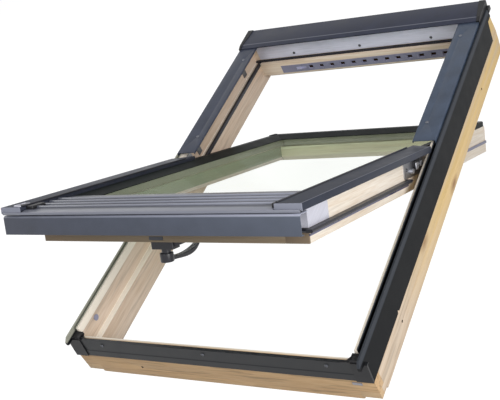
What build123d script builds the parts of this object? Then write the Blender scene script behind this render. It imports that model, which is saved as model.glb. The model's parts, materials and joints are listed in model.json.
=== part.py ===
from build123d import *
import math
import os

# Centre pivot roof window, seen flat in its own roof plane. All lengths in millimetres.
# X runs to the right seen from outside, Y up the slope, Z outward from the room.
# The origin is the middle of the lower edge on the room side of the frame.
# Heights named "level" are measured from the room side of the frame.

os.makedirs("parts", exist_ok=True)

# Overall size of the wooden frame and the sash position
frame_width = 660.0
frame_length = 980.0
sash_open_angle = 33.3
pivot_head_inset = 466.0
pivot_level = 112.0
past = 20.0
sides = (("left", -1), ("right", 1))

# Frame timber
jamb_room_width = 38.0
jamb_upper_width = 26.0
ledge_level = 60.0
bevel_level = 101.0
bevel_run = 2.5
lip_level = 113.0
lip_width = 5.5
channel_level = 97.0
shoulder_inset = 5.0
skirt_level = 56.0
room_edge_round = 3.0
rail_room_width = 22.0
rail_upper_width = 15.0
rail_front_lean = 4.0
head_room_width = 40.0
head_upper_width = 26.0
head_level = 106.0
head_step_width = 12.0
head_step_level = 22.0
tongue_low_level = 22.0
corner_notch_depth = 5.5
corner_notch_width = 35.0
corner_notch_length = 27.0

# Fixing holes in the outer faces of the jambs and the rail
fixing_low_y = 149.0
fixing_head_inset = 180.0
fixing_level = 30.0
fixing_radius = 2.25
fixing_depth = 14.0
rail_hole_inset = 150.0
rail_hole_level = 28.0

# Black side and bottom profiles
sheet = 1.5
fin_rise = 1.5
ridge_inset = 10.0
ridge_level = 105.0
ridge_slant = 0.5
ridge_top_inset = 6.5
ridge_top_level = 115.0
ridge_nose_y = -12.0
ridge_nose_slant = 8.0
profile_head_inset = 23.0
profile_end_slant = 16.0
profile_notch_width = 7.0
profile_notch_height = 5.0
bottom_flange_end = 9.0
bottom_step_level = 70.0
bottom_step = 0.8
bottom_step_blend = 2.0
profile_screw_left_inset = 52.0
profile_screw_mid = -5.0
profile_screw_right_inset = 48.0
profile_screw_level = 88.0

# Corner caps on the bottom of the frame
cap_lap = 4.0
cap_back_y = 20.0
cap_level = 104.0
cap_round = 4.0
cap_foot_length = 17.0
cap_foot_bend = 7.0
cap_foot = 1.5
cap_front = 2.0
cap_front_low_level = 58.0
clip_strip_lap = 5.0
clip_strip_length = 18.0
clip_strip_level = 42.0
clip_strip_height = 6.0

# Slate coloured covers, shared by the frame half and the sash half
cover_lap = 17.0
cover_leg_gap = 2.5
cover_level = 121.0
cover_bend = 1.2
upper_cover_pivot_gap = 18.0
upper_cover_flange = 5.0
cover_screw_inset = 17.0
cover_screw_low_inset = 56.0
cover_screw_high_inset = 60.0
bracket_half = 8.0
bracket_foot_rise = 10.0
bracket_sheet = 2.0
bracket_edge = 6.0

# Hood over the head of the frame
hood_overhang = 0.5
hood_front_inset = 54.0
hood_front_rise = 3.0
hood_front_slope = 12.0
hood_crease_level = 127.0
hood_back_reach = 18.0
hood_level = 128.5
hood_back_drop_level = 94.0
hood_cap_inset = 4.0
hood_sleeve_front = 5.0
hood_sleeve_back = 14.0
hood_tab_gap = 1.0
hood_cap_round = 7.0
hood_cap_rise = 1.0

# Strip, gasket and ventilator at the head
strip_end_gap = 14.0
strip_rise = 6.0
strip_head_gap = 2.0
strip_screw_inset = 105.0
strip_screw_rise = 10.0
gasket_pivot_lap = 14.0
gasket_overhang = 3.0
gasket_bed = 3.0
gasket_rise = 3.0
gasket_drop = 5.0
gasket_edge = 1.0
gasket_head_height = 4.0
gasket_head_set_back = 7.5
vent_left_gap = 73.0
vent_right_gap = 52.0
vent_low_level = 26.0
vent_height = 22.0
vent_proud = 1.0
vent_depth = 8.0
vent_wall = 2.0
vent_slot_count = 13
vent_blind_length = 123.0
vent_slot_width = 13.0
vent_slot_height = 10.0
vent_slot_end_gap = 25.5
vent_end_wall = 6.0
slider_gap = 0.4
slider_thick = 2.0
slider_travel = 14.0
slider_left_gap = 35.0
slider_right_gap = 24.0
slider_knob_inset = 51.0
slider_knob_width = 14.0
slider_knob = 7.0
slider_knob_reach = 4.0

# Pivot hinges
hinge_plate_thick = 3.0
hinge_plate_below = 30.0
hinge_plate_above = 42.0
hinge_plate_clear = 0.5
hinge_plate_drop = 9.0
hinge_ear_radius = 4.2
hinge_pin_radius = 2.5
hinge_bore_clear = 0.05
hinge_pin_gap = 0.2
hinge_collar_radius = 3.9
hinge_collar_gap = 0.7
arm_below = 90.0
arm_above = 8.0
arm_low_level = 68.0
arm_high_level = 102.5
arm_thick = 2.5
arm_corner = 6.0
hinge_screw_inset = 12.0
hinge_screw_radius = 3.6
hinge_screw_rise = 1.4

# Bushes and striker on the frame
bush_y = 68.0
bush_level = 90.0
bush_radius = 6.0
bush_depth = 8.0
bush_rise = 1.2
bush_bore = 3.0
fit_gap = 0.05
striker_x = -20.0
striker_half = 26.0
striker_low_level = 38.0
striker_high_level = 58.0
striker_lip_low_level = 53.5
striker_lip_reach = 4.5

# Screws
screw_head_radius = 3.6
screw_head_rise = 1.6
screw_shank_radius = 2.0
screw_hole_radius = 2.2
screw_length = 10.0
screw_slot = 1.0
screw_slot_depth = 0.8

# Sash timber, in closed position
sash_side_gap = 18.0
stile_width = 44.0
sash_room_level = 41.0
sash_top_level = 102.0
sash_bevel = 11.0
sash_low_y = 30.0
sash_head_gap = 50.0
sash_bottom_width = 70.0
sash_top_width = 56.0
rebate_wall = 18.0
rebate_low_wall = 22.0
rebate_high_wall = 12.0
rebate_level = 78.0

# Sealed glass unit
glass_clear = 2.0
pane = 4.0
spacer_inset = 6.0
spacer_width = 12.0

# Glass beads
bead_set_in = 2.0
bead_flat = 16.0
bead_reach = 43.0
bead_level = 113.0
bead_foot = 1.5
bead_wall = 2.0
bead_low_gap = 1.0
head_bead_width = 46.0
corner_piece_width = 9.0
corner_piece_length = 28.0
corner_piece_inset = 7.0
corner_piece_rise = 2.0

# Lower covers on the sash
lower_cover_low_y = -38.0
lower_cover_inner_past = 12.0
lower_cover_kink_short = 12.0
lower_cover_outer_short = 15.0
lower_cover_flange_level = 109.0

# Ribbed drip profile and apron at the lower end of the sash
drip_end_gap = 2.0
drip_level = 114.0
drip_sheet = 2.0
drip_back_leg = 3.0
drip_front_leg_y = 40.0
drip_nose_y = -40.0
drip_nose_top = 111.5
drip_nose_bottom = 107.0
drip_bend_y = -24.0
drip_nose_depth = 4.0
rib_count = 4
rib_first_y = -8.0
rib_pitch = 24.0
rib_radius = 4.0
apron_inset = 4.5
apron_front_y = -39.5
apron_low_level = 70.0
apron_high_level = 105.0
apron_bend = 5.0
apron_wing_y = -14.0
apron_lip = 8.0
apron_web_gap = 4.0
apron_web_end = 50.0
clip_block_inset = 4.0
clip_block_width = 20.0
clip_block_low_y = -14.0
clip_block_high_y = 14.0
clip_block_level = 112.0
clip_block_round = 4.0

# Plates and seals on the sash
corner_plate = 1.0
corner_plate_length = 72.0
corner_plate_wrap = 26.0
corner_plate_low_level = 67.5
corner_plate_high_level = 100.0
seal_width = 13.0
seal_low_level = 61.0
seal_high_level = 67.0
seal_tip = 2.0
seal_pivot_gap = 74.0
seal_reach = 9.0
thin_seal = 2.5
thin_seal_low_level = 54.0
thin_seal_high_level = 57.0
upper_seal = 2.0
upper_seal_low_level = 62.0
upper_seal_high_level = 68.0
upper_seal_pivot_gap = 16.0

# Handle and latch
handle_x = -22.0
handle_y = 57.0
base_half_x = 24.5
base_half_y = 12.0
base_thick = 17.0
base_round = 4.0
catch_half_y = 7.0
catch_thick = 13.0
catch_end_x = 19.0
catch_step = 8.0
hub_radius = 8.5
hub_low_level = -1.0
hub_play = 0.4
lever_half_x = 6.5
lever_thick = 8.0
lever_bend_y = 104.0
lever_bend_drop = 3.0
lever_rise_y = 136.0
lever_tip_y = 152.0
lever_tip_rise = 10.0
lever_tip_width = 5.0
lever_round = 1.5
tongue_x = -20.0
tongue_half = 15.0
tongue_low = 45.0
tongue_high = 51.0
tongue_length = 26.0
tongue_play = 0.3
tongue_pocket = 34.0

# Places that follow from the sizes above
half = frame_width / 2
room_x = half - jamb_room_width
upper_x = half - jamb_upper_width
lip_in_x = upper_x + bevel_run
lip_out_x = lip_in_x + lip_width
shoulder_x = half - shoulder_inset
fin_x = lip_out_x + sheet
ridge_in_x = half - ridge_inset
floor_level = channel_level + sheet
head_low_y = frame_length - head_room_width
head_upper_y = frame_length - head_upper_width
head_step_y = frame_length - head_step_width
fixing_high_y = frame_length - fixing_head_inset
pivot_y = frame_length - pivot_head_inset
rail_hole_x = half - rail_hole_inset
profile_ridge_end = frame_length - profile_head_inset
profile_foot_end = profile_ridge_end - profile_end_slant
cap_inner_x = upper_x - cap_lap
cap_foot_x = cap_inner_x - cap_foot_length
cap_foot_bend_x = cap_inner_x - cap_foot_bend
clip_strip_x = room_x - clip_strip_lap
profile_screw_places = (profile_screw_left_inset - cap_inner_x, profile_screw_mid,
                        cap_inner_x - profile_screw_right_inset)
stile_outer_x = upper_x - sash_side_gap
stile_inner_x = stile_outer_x - stile_width
sash_high_y = frame_length - sash_head_gap
opening_low_y = sash_low_y + sash_bottom_width
opening_high_y = sash_high_y - sash_top_width
rebate_x = stile_outer_x - rebate_wall
rebate_low_y = sash_low_y + rebate_low_wall
rebate_high_y = sash_high_y - rebate_high_wall
cover_inner_x = stile_outer_x - cover_lap
cover_outer_x = fin_x + cover_leg_gap + sheet
cover_under = cover_level - sheet
cover_screw_x = cover_inner_x + cover_screw_inset
upper_cover_low_y = pivot_y + upper_cover_pivot_gap
upper_cover_high_y = head_low_y
cover_screw_low_y = upper_cover_low_y + cover_screw_low_inset
cover_screw_high_y = upper_cover_high_y - cover_screw_high_inset
bracket_foot_level = ledge_level + bracket_foot_rise
bracket_reach_x = cover_screw_x - bracket_edge
hood_half = cover_outer_x + hood_overhang
hood_front_y = frame_length - hood_front_inset
hood_crease_y = hood_front_y + hood_front_slope
hood_back_y = frame_length + hood_back_reach
hood_cap_outer_x = half - hood_cap_inset
gasket_level = ledge_level + gasket_rise
gasket_bed_x = room_x + gasket_bed
gasket_head_level = ledge_level + gasket_head_height
gasket_low_y = pivot_y - gasket_pivot_lap
gasket_lip_x = room_x - gasket_overhang
gasket_head_low_y = head_low_y + gasket_head_set_back
strip_half = upper_x - strip_end_gap
strip_low_level = ledge_level + strip_rise
strip_high_level = head_level - strip_head_gap
strip_screw_x = strip_half - strip_screw_inset
strip_screw_places = (-strip_screw_x, 0, strip_screw_x)
strip_screw_level = strip_low_level + strip_screw_rise
vent_left_x = vent_left_gap - upper_x
vent_right_x = upper_x - vent_right_gap
vent_high_level = vent_low_level + vent_height
vent_front_y = head_low_y - vent_proud
vent_back_y = vent_front_y + vent_depth
vent_slot_run = vent_right_x - vent_left_x - vent_blind_length
vent_slot_pitch = vent_slot_run / (vent_slot_count - 1)
vent_slot_x = (vent_right_x - vent_end_wall - vent_slot_end_gap - vent_slot_width / 2
               - vent_slot_run / 2)
slider_left_x = vent_left_x + slider_left_gap
slider_right_x = vent_right_x - slider_right_gap
slider_knob_x = vent_left_x + slider_knob_inset
hinge_plate_x = upper_x - hinge_plate_thick
hinge_plate_low_y = pivot_y - hinge_plate_below
hinge_plate_high_y = pivot_y + hinge_plate_above
hinge_plate_low_level = strip_low_level + hinge_plate_clear
hinge_plate_high_level = pivot_level - hinge_plate_drop
hinge_pin_tip_x = stile_outer_x + hinge_pin_gap
hinge_collar_x = stile_outer_x + arm_thick + hinge_collar_gap
arm_low_y = pivot_y - arm_below
arm_high_y = pivot_y + arm_above
glass_x = rebate_x - glass_clear
glass_low_y = rebate_low_y + glass_clear
glass_high_y = rebate_high_y - glass_clear
inner_pane_top = rebate_level + pane
outer_pane_bottom = sash_top_level - pane
bead_outer_x = stile_outer_x - bead_set_in
bead_flat_x = bead_outer_x - bead_flat
bead_inner_x = bead_outer_x - bead_reach
bead_low_y = opening_low_y + bead_low_gap
bead_high_y = sash_high_y - bead_set_in
bead_flat_share = bead_flat / bead_reach
head_bead_flat_y = bead_high_y - head_bead_width * bead_flat_share
head_bead_inner_y = bead_high_y - head_bead_width
corner_piece_inner_x = bead_outer_x - corner_piece_width
corner_piece_high_y = bead_high_y - corner_piece_inset
corner_piece_low_y = corner_piece_high_y - corner_piece_length
lower_cover_inner_end = pivot_y + lower_cover_inner_past
lower_cover_kink_end = pivot_y - lower_cover_kink_short
lower_cover_outer_end = pivot_y - lower_cover_outer_short
drip_half = cover_inner_x - drip_end_gap
apron_half = cover_outer_x - apron_inset
apron_web_half = cap_inner_x - apron_web_gap
clip_block_inner_x = cover_inner_x + clip_block_inset
clip_block_outer_x = clip_block_inner_x + clip_block_width
corner_plate_high_y = sash_low_y + corner_plate_length
seal_outer_x = stile_outer_x + seal_width
seal_high_y = pivot_y - seal_pivot_gap
upper_seal_low_y = pivot_y + upper_seal_pivot_gap
upper_seal_high_y = sash_high_y
front_wedge = [(-past, skirt_level), (0, skirt_level), (rail_front_lean, channel_level),
               (cap_back_y, channel_level), (cap_back_y, cover_level + past),
               (-past, cover_level + past)]
skirt_wedge = [(-past, skirt_level - past), (0, skirt_level - past), (0, skirt_level),
               (rail_front_lean, channel_level), (bottom_flange_end, channel_level),
               (bottom_flange_end, floor_level), (-past, floor_level)]
nose_wedge = [(-past, ridge_top_level - ridge_nose_slant), (ridge_nose_y, ridge_top_level - ridge_nose_slant),
              (ridge_nose_y + ridge_nose_slant, ridge_top_level),
              (ridge_nose_y + ridge_nose_slant, ridge_top_level + past), (-past, ridge_top_level + past)]

# The frame lies in the row frame; the sash plane is turned about the pivot
turn = math.radians(sash_open_angle)
frame = Plane.XY
sash_pivot = Plane(origin=(0, pivot_y, pivot_level), x_dir=(1, 0, 0),
                   z_dir=(0, math.sin(turn), math.cos(turn)))
sash = Plane(origin=sash_pivot.from_local_coords((0, -pivot_y, -pivot_level)), x_dir=(1, 0, 0),
             z_dir=(0, math.sin(turn), math.cos(turn)))


def section_at_x(base, x):
    return Plane(origin=base.from_local_coords((x, 0, 0)), x_dir=base.y_dir, z_dir=base.x_dir)


def section_at_y(base, y):
    return Plane(origin=base.from_local_coords((0, y, 0)), x_dir=base.x_dir, z_dir=-base.y_dir)


def layer_at(base, level):
    return Plane(origin=base.from_local_coords((0, 0, level)), x_dir=base.x_dir, z_dir=base.z_dir)


def block(a, b, c, d):
    return [(a, c), (b, c), (b, d), (a, d)]


def sided(sign, points):
    return [(sign * u, v) for u, v in points]


def folded(points, thick):
    """Closed outline of a sheet whose outer face follows the points; the sheet lies to the right."""
    lines = []
    for (u0, v0), (u1, v1) in zip(points, points[1:]):
        length = math.hypot(u1 - u0, v1 - v0)
        lines.append(((v1 - v0) / length, -(u1 - u0) / length))
    inner = []
    for i, (u, v) in enumerate(points):
        before = lines[max(i - 1, 0)]
        after = lines[min(i, len(lines) - 1)]
        share = 1 + before[0] * after[0] + before[1] * after[1]
        inner.append((u + thick * (before[0] + after[0]) / share,
                      v + thick * (before[1] + after[1]) / share))
    return list(points) + inner[::-1]


def outline(points):
    Polygon(*points, align=None)


def along_x(base, points, start, end, mode=Mode.ADD):
    with BuildSketch(section_at_x(base, start)) as drawn:
        outline(points)
    extrude(drawn.sketch, amount=end - start, mode=mode)


def along_y(base, points, start, end, mode=Mode.ADD):
    with BuildSketch(section_at_y(base, start)) as drawn:
        outline(points)
    extrude(drawn.sketch, amount=start - end, mode=mode)


def along_z(base, points, start, end, mode=Mode.ADD):
    with BuildSketch(layer_at(base, start)) as drawn:
        outline(points)
    extrude(drawn.sketch, amount=end - start, mode=mode)


def rod(plane, u, v, radius, length, mode=Mode.ADD):
    with BuildSketch(plane) as drawn:
        with Locations((u, v)):
            Circle(radius)
    extrude(drawn.sketch, amount=length, mode=mode)


# Frame timber: two jambs, the bottom rail tongued into them, and the head
for side, sign in sides:
    with BuildPart() as jamb:
        with BuildSketch(section_at_y(frame, 0)):
            outline(sided(sign, [(room_x, 0), (room_x, ledge_level), (upper_x, ledge_level),
                                 (upper_x, bevel_level), (lip_in_x, lip_level),
                                 (lip_out_x, lip_level), (lip_out_x, channel_level),
                                 (shoulder_x, channel_level), (half, skirt_level), (half, 0)]))
            fillet(vertices().sort_by_distance((sign * room_x, 0))[0], room_edge_round)
        extrude(amount=-frame_length)
        along_x(frame, front_wedge, sign * (room_x - past), sign * (half + past), Mode.SUBTRACT)
        along_x(frame, block(-past, rail_room_width, tongue_low_level, skirt_level),
                sign * (room_x - past), sign * (half + past), Mode.SUBTRACT)
        along_x(frame, block(-past, corner_notch_length, -past, corner_notch_depth),
                sign * (half - corner_notch_width), sign * (half + past), Mode.SUBTRACT)
        for y in (fixing_low_y, fixing_high_y):
            rod(section_at_x(frame, sign * half), y, fixing_level, fixing_radius,
                -sign * fixing_depth, Mode.SUBTRACT)
        rod(section_at_x(frame, sign * upper_x), bush_y, bush_level, bush_radius + fit_gap,
            sign * bush_depth, Mode.SUBTRACT)
    jamb.part.label = f"{side}_jamb"
    export_step(jamb.part, f"parts/{side}_jamb.step")

with BuildPart() as bottom_rail:
    along_x(frame, block(0, rail_room_width, 0, skirt_level), -room_x, room_x)
    along_x(frame, [(0, skirt_level), (rail_room_width, skirt_level), (rail_room_width, ledge_level),
                    (rail_upper_width, ledge_level), (rail_upper_width, channel_level),
                    (rail_front_lean, channel_level)], -room_x, room_x)
    for side, sign in sides:
        along_x(frame, [(rail_front_lean * (ledge_level - skirt_level) / (channel_level - skirt_level),
                         ledge_level), (rail_upper_width, ledge_level),
                        (rail_upper_width, channel_level), (rail_front_lean, channel_level)],
                sign * room_x, sign * upper_x)
        along_x(frame, block(0, rail_room_width, tongue_low_level, skirt_level),
                sign * room_x, sign * half)
    rod(section_at_y(frame, 0), -rail_hole_x, rail_hole_level, fixing_radius, -fixing_depth,
        Mode.SUBTRACT)
    for x in profile_screw_places:
        rod(section_at_y(frame, 0), x, profile_screw_level, screw_hole_radius,
            -screw_length - rail_front_lean, Mode.SUBTRACT)
bottom_rail.part.label = "bottom_rail"
export_step(bottom_rail.part, "parts/bottom_rail.step")

with BuildPart() as top_rail:
    along_x(frame, block(head_low_y, frame_length, 0, ledge_level), -room_x, room_x)
    along_x(frame, block(head_upper_y, frame_length, ledge_level, head_level), -upper_x, upper_x)
    along_x(frame, block(head_low_y - past, head_step_y, -past, head_step_level), -room_x, room_x,
            Mode.SUBTRACT)
    along_x(frame, block(head_low_y - past, vent_back_y, vent_low_level, vent_high_level),
            vent_left_x, vent_right_x, Mode.SUBTRACT)
    for x in strip_screw_places:
        rod(section_at_y(frame, head_upper_y), x, strip_screw_level, screw_hole_radius, -screw_length,
            Mode.SUBTRACT)
top_rail.part.label = "top_rail"
export_step(top_rail.part, "parts/top_rail.step")

# Black profiles around the outside of the frame
for side, sign in sides:
    with BuildPart() as side_profile:
        along_y(frame, sided(sign, [(lip_out_x, channel_level), (lip_out_x, lip_level + fin_rise),
                                    (fin_x, lip_level + fin_rise), (fin_x, floor_level),
                                    (ridge_in_x, floor_level), (ridge_in_x, ridge_top_level),
                                    (half - ridge_top_inset, ridge_top_level),
                                    (shoulder_x + ridge_slant, ridge_level),
                                    (half + sheet, skirt_level), (half, skirt_level),
                                    (shoulder_x, channel_level)]), ridge_nose_y, frame_length)
        along_x(frame, front_wedge, sign * (room_x - past), sign * ridge_in_x, Mode.SUBTRACT)
        for wedge in (skirt_wedge, nose_wedge):
            along_x(frame, wedge, sign * ridge_in_x, sign * (half + past), Mode.SUBTRACT)
        along_x(frame, [(profile_ridge_end, channel_level), (profile_foot_end, skirt_level),
                        (profile_foot_end, skirt_level - past), (frame_length + past, skirt_level - past),
                        (frame_length + past, channel_level)],
                sign * (room_x - past), sign * (half + past), Mode.SUBTRACT)
        along_x(frame, [(fixing_low_y - profile_notch_width / 2, skirt_level),
                        (fixing_low_y, skirt_level + profile_notch_height),
                        (fixing_low_y + profile_notch_width / 2, skirt_level)],
                sign * shoulder_x, sign * (half + past), Mode.SUBTRACT)
    side_profile.part.label = f"{side}_side_profile"
    export_step(side_profile.part, f"parts/{side}_side_profile.step")

front_lean = rail_front_lean / (channel_level - skirt_level)
front_face = [(-sheet - bottom_step, skirt_level),
              (-sheet - bottom_step + front_lean * (bottom_step_level - skirt_level),
               bottom_step_level),
              (-sheet + front_lean * (bottom_step_level + bottom_step_blend - skirt_level),
               bottom_step_level + bottom_step_blend),
              (-sheet + front_lean * (floor_level - skirt_level), floor_level)]
with BuildPart() as bottom_profile:
    along_x(frame, [(0, skirt_level)] + front_face +
            [(bottom_flange_end, floor_level), (bottom_flange_end, channel_level),
             (rail_front_lean, channel_level)], -half - sheet, half + sheet)
    for x in profile_screw_places:
        rod(section_at_y(frame, -past), x, profile_screw_level, screw_hole_radius, -past - past,
            Mode.SUBTRACT)
bottom_profile.part.label = "bottom_profile"
export_step(bottom_profile.part, "parts/bottom_profile.step")

front_top_y = front_face[-1][0]
for side, sign in sides:
    with BuildPart() as corner_cap:
        with BuildSketch(section_at_x(frame, sign * cap_inner_x)):
            outline([(front_top_y, floor_level), (bottom_flange_end, floor_level),
                     (bottom_flange_end, channel_level), (cap_back_y, channel_level),
                     (cap_back_y, cap_level), (front_top_y, cap_level)])
            fillet(vertices().sort_by_distance((front_top_y, cap_level))[0], cap_round)
        extrude(amount=sign * (fin_x - cap_inner_x))
        with BuildSketch(section_at_x(frame, sign * fin_x)):
            outline([(front_top_y, floor_level), (cap_back_y, floor_level), (cap_back_y, cap_level),
                     (front_top_y, cap_level)])
            fillet(vertices().sort_by_distance((front_top_y, cap_level))[0], cap_round)
        extrude(amount=sign * (ridge_in_x - fin_x))
        along_z(frame, sided(sign, [(cap_inner_x, cap_back_y), (cap_inner_x, front_top_y),
                                    (cap_foot_x, front_top_y), (cap_foot_bend_x, bottom_flange_end)]),
                floor_level, floor_level + cap_foot)
        along_x(frame, front_face[1:] + [(front_face[-1][0] - cap_front, floor_level),
                                         (front_face[1][0] - cap_front, bottom_step_level)],
                sign * cap_inner_x, sign * (half + sheet))
        along_x(frame, [front_face[0], front_face[1],
                        (front_face[1][0] - cap_front, bottom_step_level),
                        (front_face[0][0] - cap_front, skirt_level)],
                sign * cap_inner_x, sign * (half + sheet))
        along_x(frame, [(front_top_y - cap_front, floor_level), (front_top_y, floor_level),
                        (front_top_y + cap_round, floor_level + cap_foot),
                        (front_top_y + cap_round, cap_level - cap_round),
                        (front_top_y - cap_front, floor_level + cap_foot)],
                sign * cap_inner_x, sign * ridge_in_x)
    corner_cap.part.label = f"{side}_corner_cap"
    export_step(corner_cap.part, f"parts/{side}_corner_cap.step")

with BuildPart() as corner_clip:
    along_z(frame, block(clip_strip_x, clip_strip_x + clip_strip_length, -sheet, 0), clip_strip_level,
            clip_strip_level + clip_strip_height)
corner_clip.part.label = "corner_clip"
export_step(corner_clip.part, "parts/corner_clip.step")

# Covers over the upper half, screwed to brackets on the jambs
for side, sign in sides:
    with BuildPart() as upper_cover:
        along_y(frame, sided(sign, folded([(cover_inner_x, cover_level - upper_cover_flange),
                                           (cover_inner_x, cover_level), (cover_outer_x, cover_level),
                                           (cover_outer_x, floor_level)], sheet)),
                upper_cover_low_y, upper_cover_high_y)
        fillet(edges().filter_by(Axis.Y).group_by(Axis.Z)[-1], cover_bend)
        for y in (cover_screw_low_y, cover_screw_high_y):
            rod(layer_at(frame, cover_under - past), sign * cover_screw_x, y, screw_hole_radius,
                past + past, Mode.SUBTRACT)
    upper_cover.part.label = f"{side}_upper_cover"
    export_step(upper_cover.part, f"parts/{side}_upper_cover.step")

    for place, y in (("lower", cover_screw_low_y), ("upper", cover_screw_high_y)):
        with BuildPart() as bracket:
            along_y(frame, sided(sign, [(upper_x, bracket_foot_level), (upper_x, cover_under),
                                        (bracket_reach_x, cover_under),
                                        (bracket_reach_x, cover_under - bracket_sheet),
                                        (upper_x - bracket_sheet, cover_under - bracket_sheet),
                                        (upper_x - bracket_sheet, bracket_foot_level)]),
                    y - bracket_half, y + bracket_half)
            rod(layer_at(frame, cover_under - past), sign * cover_screw_x, y, screw_hole_radius,
                past + past, Mode.SUBTRACT)
        bracket.part.label = f"{side}_{place}_bracket"
        export_step(bracket.part, f"parts/{side}_{place}_bracket.step")

with BuildPart() as cover_screws:
    for side, sign in sides:
        for y in (cover_screw_low_y, cover_screw_high_y):
            rod(layer_at(frame, cover_level - screw_length), sign * cover_screw_x, y,
                screw_shank_radius, screw_length)
            rod(layer_at(frame, cover_level), sign * cover_screw_x, y, screw_head_radius,
                screw_head_rise)
            along_z(frame, block(sign * cover_screw_x - screw_head_radius,
                                 sign * cover_screw_x + screw_head_radius,
                                 y - screw_slot / 2, y + screw_slot / 2),
                    cover_level + screw_head_rise - screw_slot_depth,
                    cover_level + screw_head_rise, Mode.SUBTRACT)
cover_screws.part.label = "cover_screws"
export_step(cover_screws.part, "parts/cover_screws.step")

# Hood with its end caps
hood_line = [(hood_front_y, cover_level), (hood_front_y, cover_level + hood_front_rise),
             (hood_crease_y, hood_crease_level), (hood_back_y, hood_level),
             (hood_back_y, hood_back_drop_level)]
with BuildPart() as top_hood:
    along_x(frame, folded(hood_line, sheet), -hood_half, hood_half)
top_hood.part.label = "top_hood"
export_step(top_hood.part, "parts/top_hood.step")

for side, sign in sides:
    with BuildPart() as hood_cap:
        along_x(frame, folded(hood_line, -hood_cap_rise), sign * (hood_half - hood_sleeve_back),
                sign * hood_half)
        along_z(frame, sided(sign, [(hood_half - hood_sleeve_back - past, hood_front_y - past),
                                    (hood_half - hood_sleeve_front, hood_front_y - past),
                                    (hood_half - hood_sleeve_front, hood_front_y),
                                    (hood_half - hood_sleeve_back, hood_back_y),
                                    (hood_half - hood_sleeve_back - past, hood_back_y)]),
                hood_back_drop_level - past, hood_level + past, Mode.SUBTRACT)
        along_x(frame, block(frame_length + hood_tab_gap, hood_back_y - hood_tab_gap, ridge_level,
                             ridge_top_level), sign * hood_half, sign * hood_cap_outer_x)
        with BuildSketch(section_at_x(frame, sign * hood_half)):
            outline([(hood_front_y - hood_cap_rise, ridge_level),
                     (hood_front_y - hood_cap_rise, cover_level + hood_front_rise),
                     (hood_crease_y, hood_crease_level + hood_cap_rise),
                     (hood_back_y + hood_cap_rise, hood_level + hood_cap_rise),
                     (hood_back_y + hood_cap_rise, ridge_level)])
            fillet(vertices().sort_by_distance((hood_front_y, ridge_level))[0], hood_cap_round)
            fillet(vertices().sort_by_distance((hood_back_y, ridge_level))[0], hood_cap_round)
        extrude(amount=sign * sheet)
    hood_cap.part.label = f"{side}_hood_cap"
    export_step(hood_cap.part, f"parts/{side}_hood_cap.step")

# Strip, gasket and ventilator at the head
with BuildPart() as top_strip:
    along_y(frame, block(-strip_half, strip_half, strip_low_level, strip_high_level),
            head_upper_y - sheet, head_upper_y)
    for x in strip_screw_places:
        rod(section_at_y(frame, head_upper_y - past), x, strip_screw_level, screw_hole_radius,
            -past - past, Mode.SUBTRACT)
top_strip.part.label = "top_strip"
export_step(top_strip.part, "parts/top_strip.step")

with BuildPart() as strip_screws:
    for x in strip_screw_places:
        rod(section_at_y(frame, head_upper_y - sheet), x, strip_screw_level, screw_shank_radius,
            -screw_length)
        rod(section_at_y(frame, head_upper_y - sheet), x, strip_screw_level, screw_head_radius,
            screw_head_rise)
strip_screws.part.label = "strip_screws"
export_step(strip_screws.part, "parts/strip_screws.step")

profile_screw_seat = front_lean * (profile_screw_level - screw_head_radius - skirt_level) - sheet
with BuildPart() as profile_screws:
    for x in profile_screw_places:
        rod(section_at_y(frame, profile_screw_seat), x, profile_screw_level, screw_shank_radius,
            -screw_length)
        rod(section_at_y(frame, profile_screw_seat), x, profile_screw_level, screw_head_radius,
            screw_head_rise)
profile_screws.part.label = "profile_screws"
export_step(profile_screws.part, "parts/profile_screws.step")

gasket_section = [(gasket_bed_x, ledge_level), (room_x, ledge_level), (room_x, ledge_level - gasket_drop),
                  (gasket_lip_x, ledge_level - gasket_drop), (gasket_lip_x, gasket_level - gasket_edge),
                  (gasket_lip_x + gasket_edge, gasket_level), (gasket_bed_x, gasket_level)]
with BuildPart() as frame_gasket:
    for side, sign in sides:
        along_y(frame, sided(sign, gasket_section), gasket_low_y, head_low_y)
        along_y(frame, sided(sign, block(gasket_lip_x, gasket_bed_x, ledge_level, gasket_level)), head_low_y,
                head_upper_y)
    along_y(frame, block(-upper_x, upper_x, ledge_level, gasket_head_level), gasket_head_low_y,
            head_upper_y)
frame_gasket.part.label = "frame_gasket"
export_step(frame_gasket.part, "parts/frame_gasket.step")

vent_mid_level = (vent_low_level + vent_high_level) / 2
slot_places = [vent_slot_x + vent_slot_pitch * (i - (vent_slot_count - 1) / 2)
               for i in range(vent_slot_count)]
slider_low_y = vent_front_y + vent_wall + slider_gap
slider_high_level = vent_high_level - vent_wall - slider_gap
slider_low_level = vent_low_level + vent_wall + slider_gap
with BuildPart() as vent_bar:
    along_y(frame, block(vent_left_x, vent_right_x, vent_low_level, vent_high_level), vent_front_y,
            vent_back_y)
    along_y(frame, block(vent_left_x + vent_end_wall, vent_right_x - vent_end_wall,
                         vent_low_level + vent_wall, vent_high_level - vent_wall),
            vent_front_y + vent_wall, vent_back_y, Mode.SUBTRACT)
    for x in slot_places:
        along_y(frame, block(x - vent_slot_width / 2, x + vent_slot_width / 2,
                             vent_mid_level - vent_slot_height / 2,
                             vent_mid_level + vent_slot_height / 2),
                vent_front_y - past, vent_front_y + vent_wall, Mode.SUBTRACT)
    along_y(frame, block(slider_knob_x - slider_knob_width / 2 - slider_gap,
                         slider_knob_x + slider_knob_width / 2 + slider_travel + slider_gap,
                         vent_mid_level - slider_knob / 2 - slider_gap,
                         vent_mid_level + slider_knob / 2 + slider_gap),
            vent_front_y - past, vent_front_y + vent_wall, Mode.SUBTRACT)
vent_bar.part.label = "vent_bar"
export_step(vent_bar.part, "parts/vent_bar.step")

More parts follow.
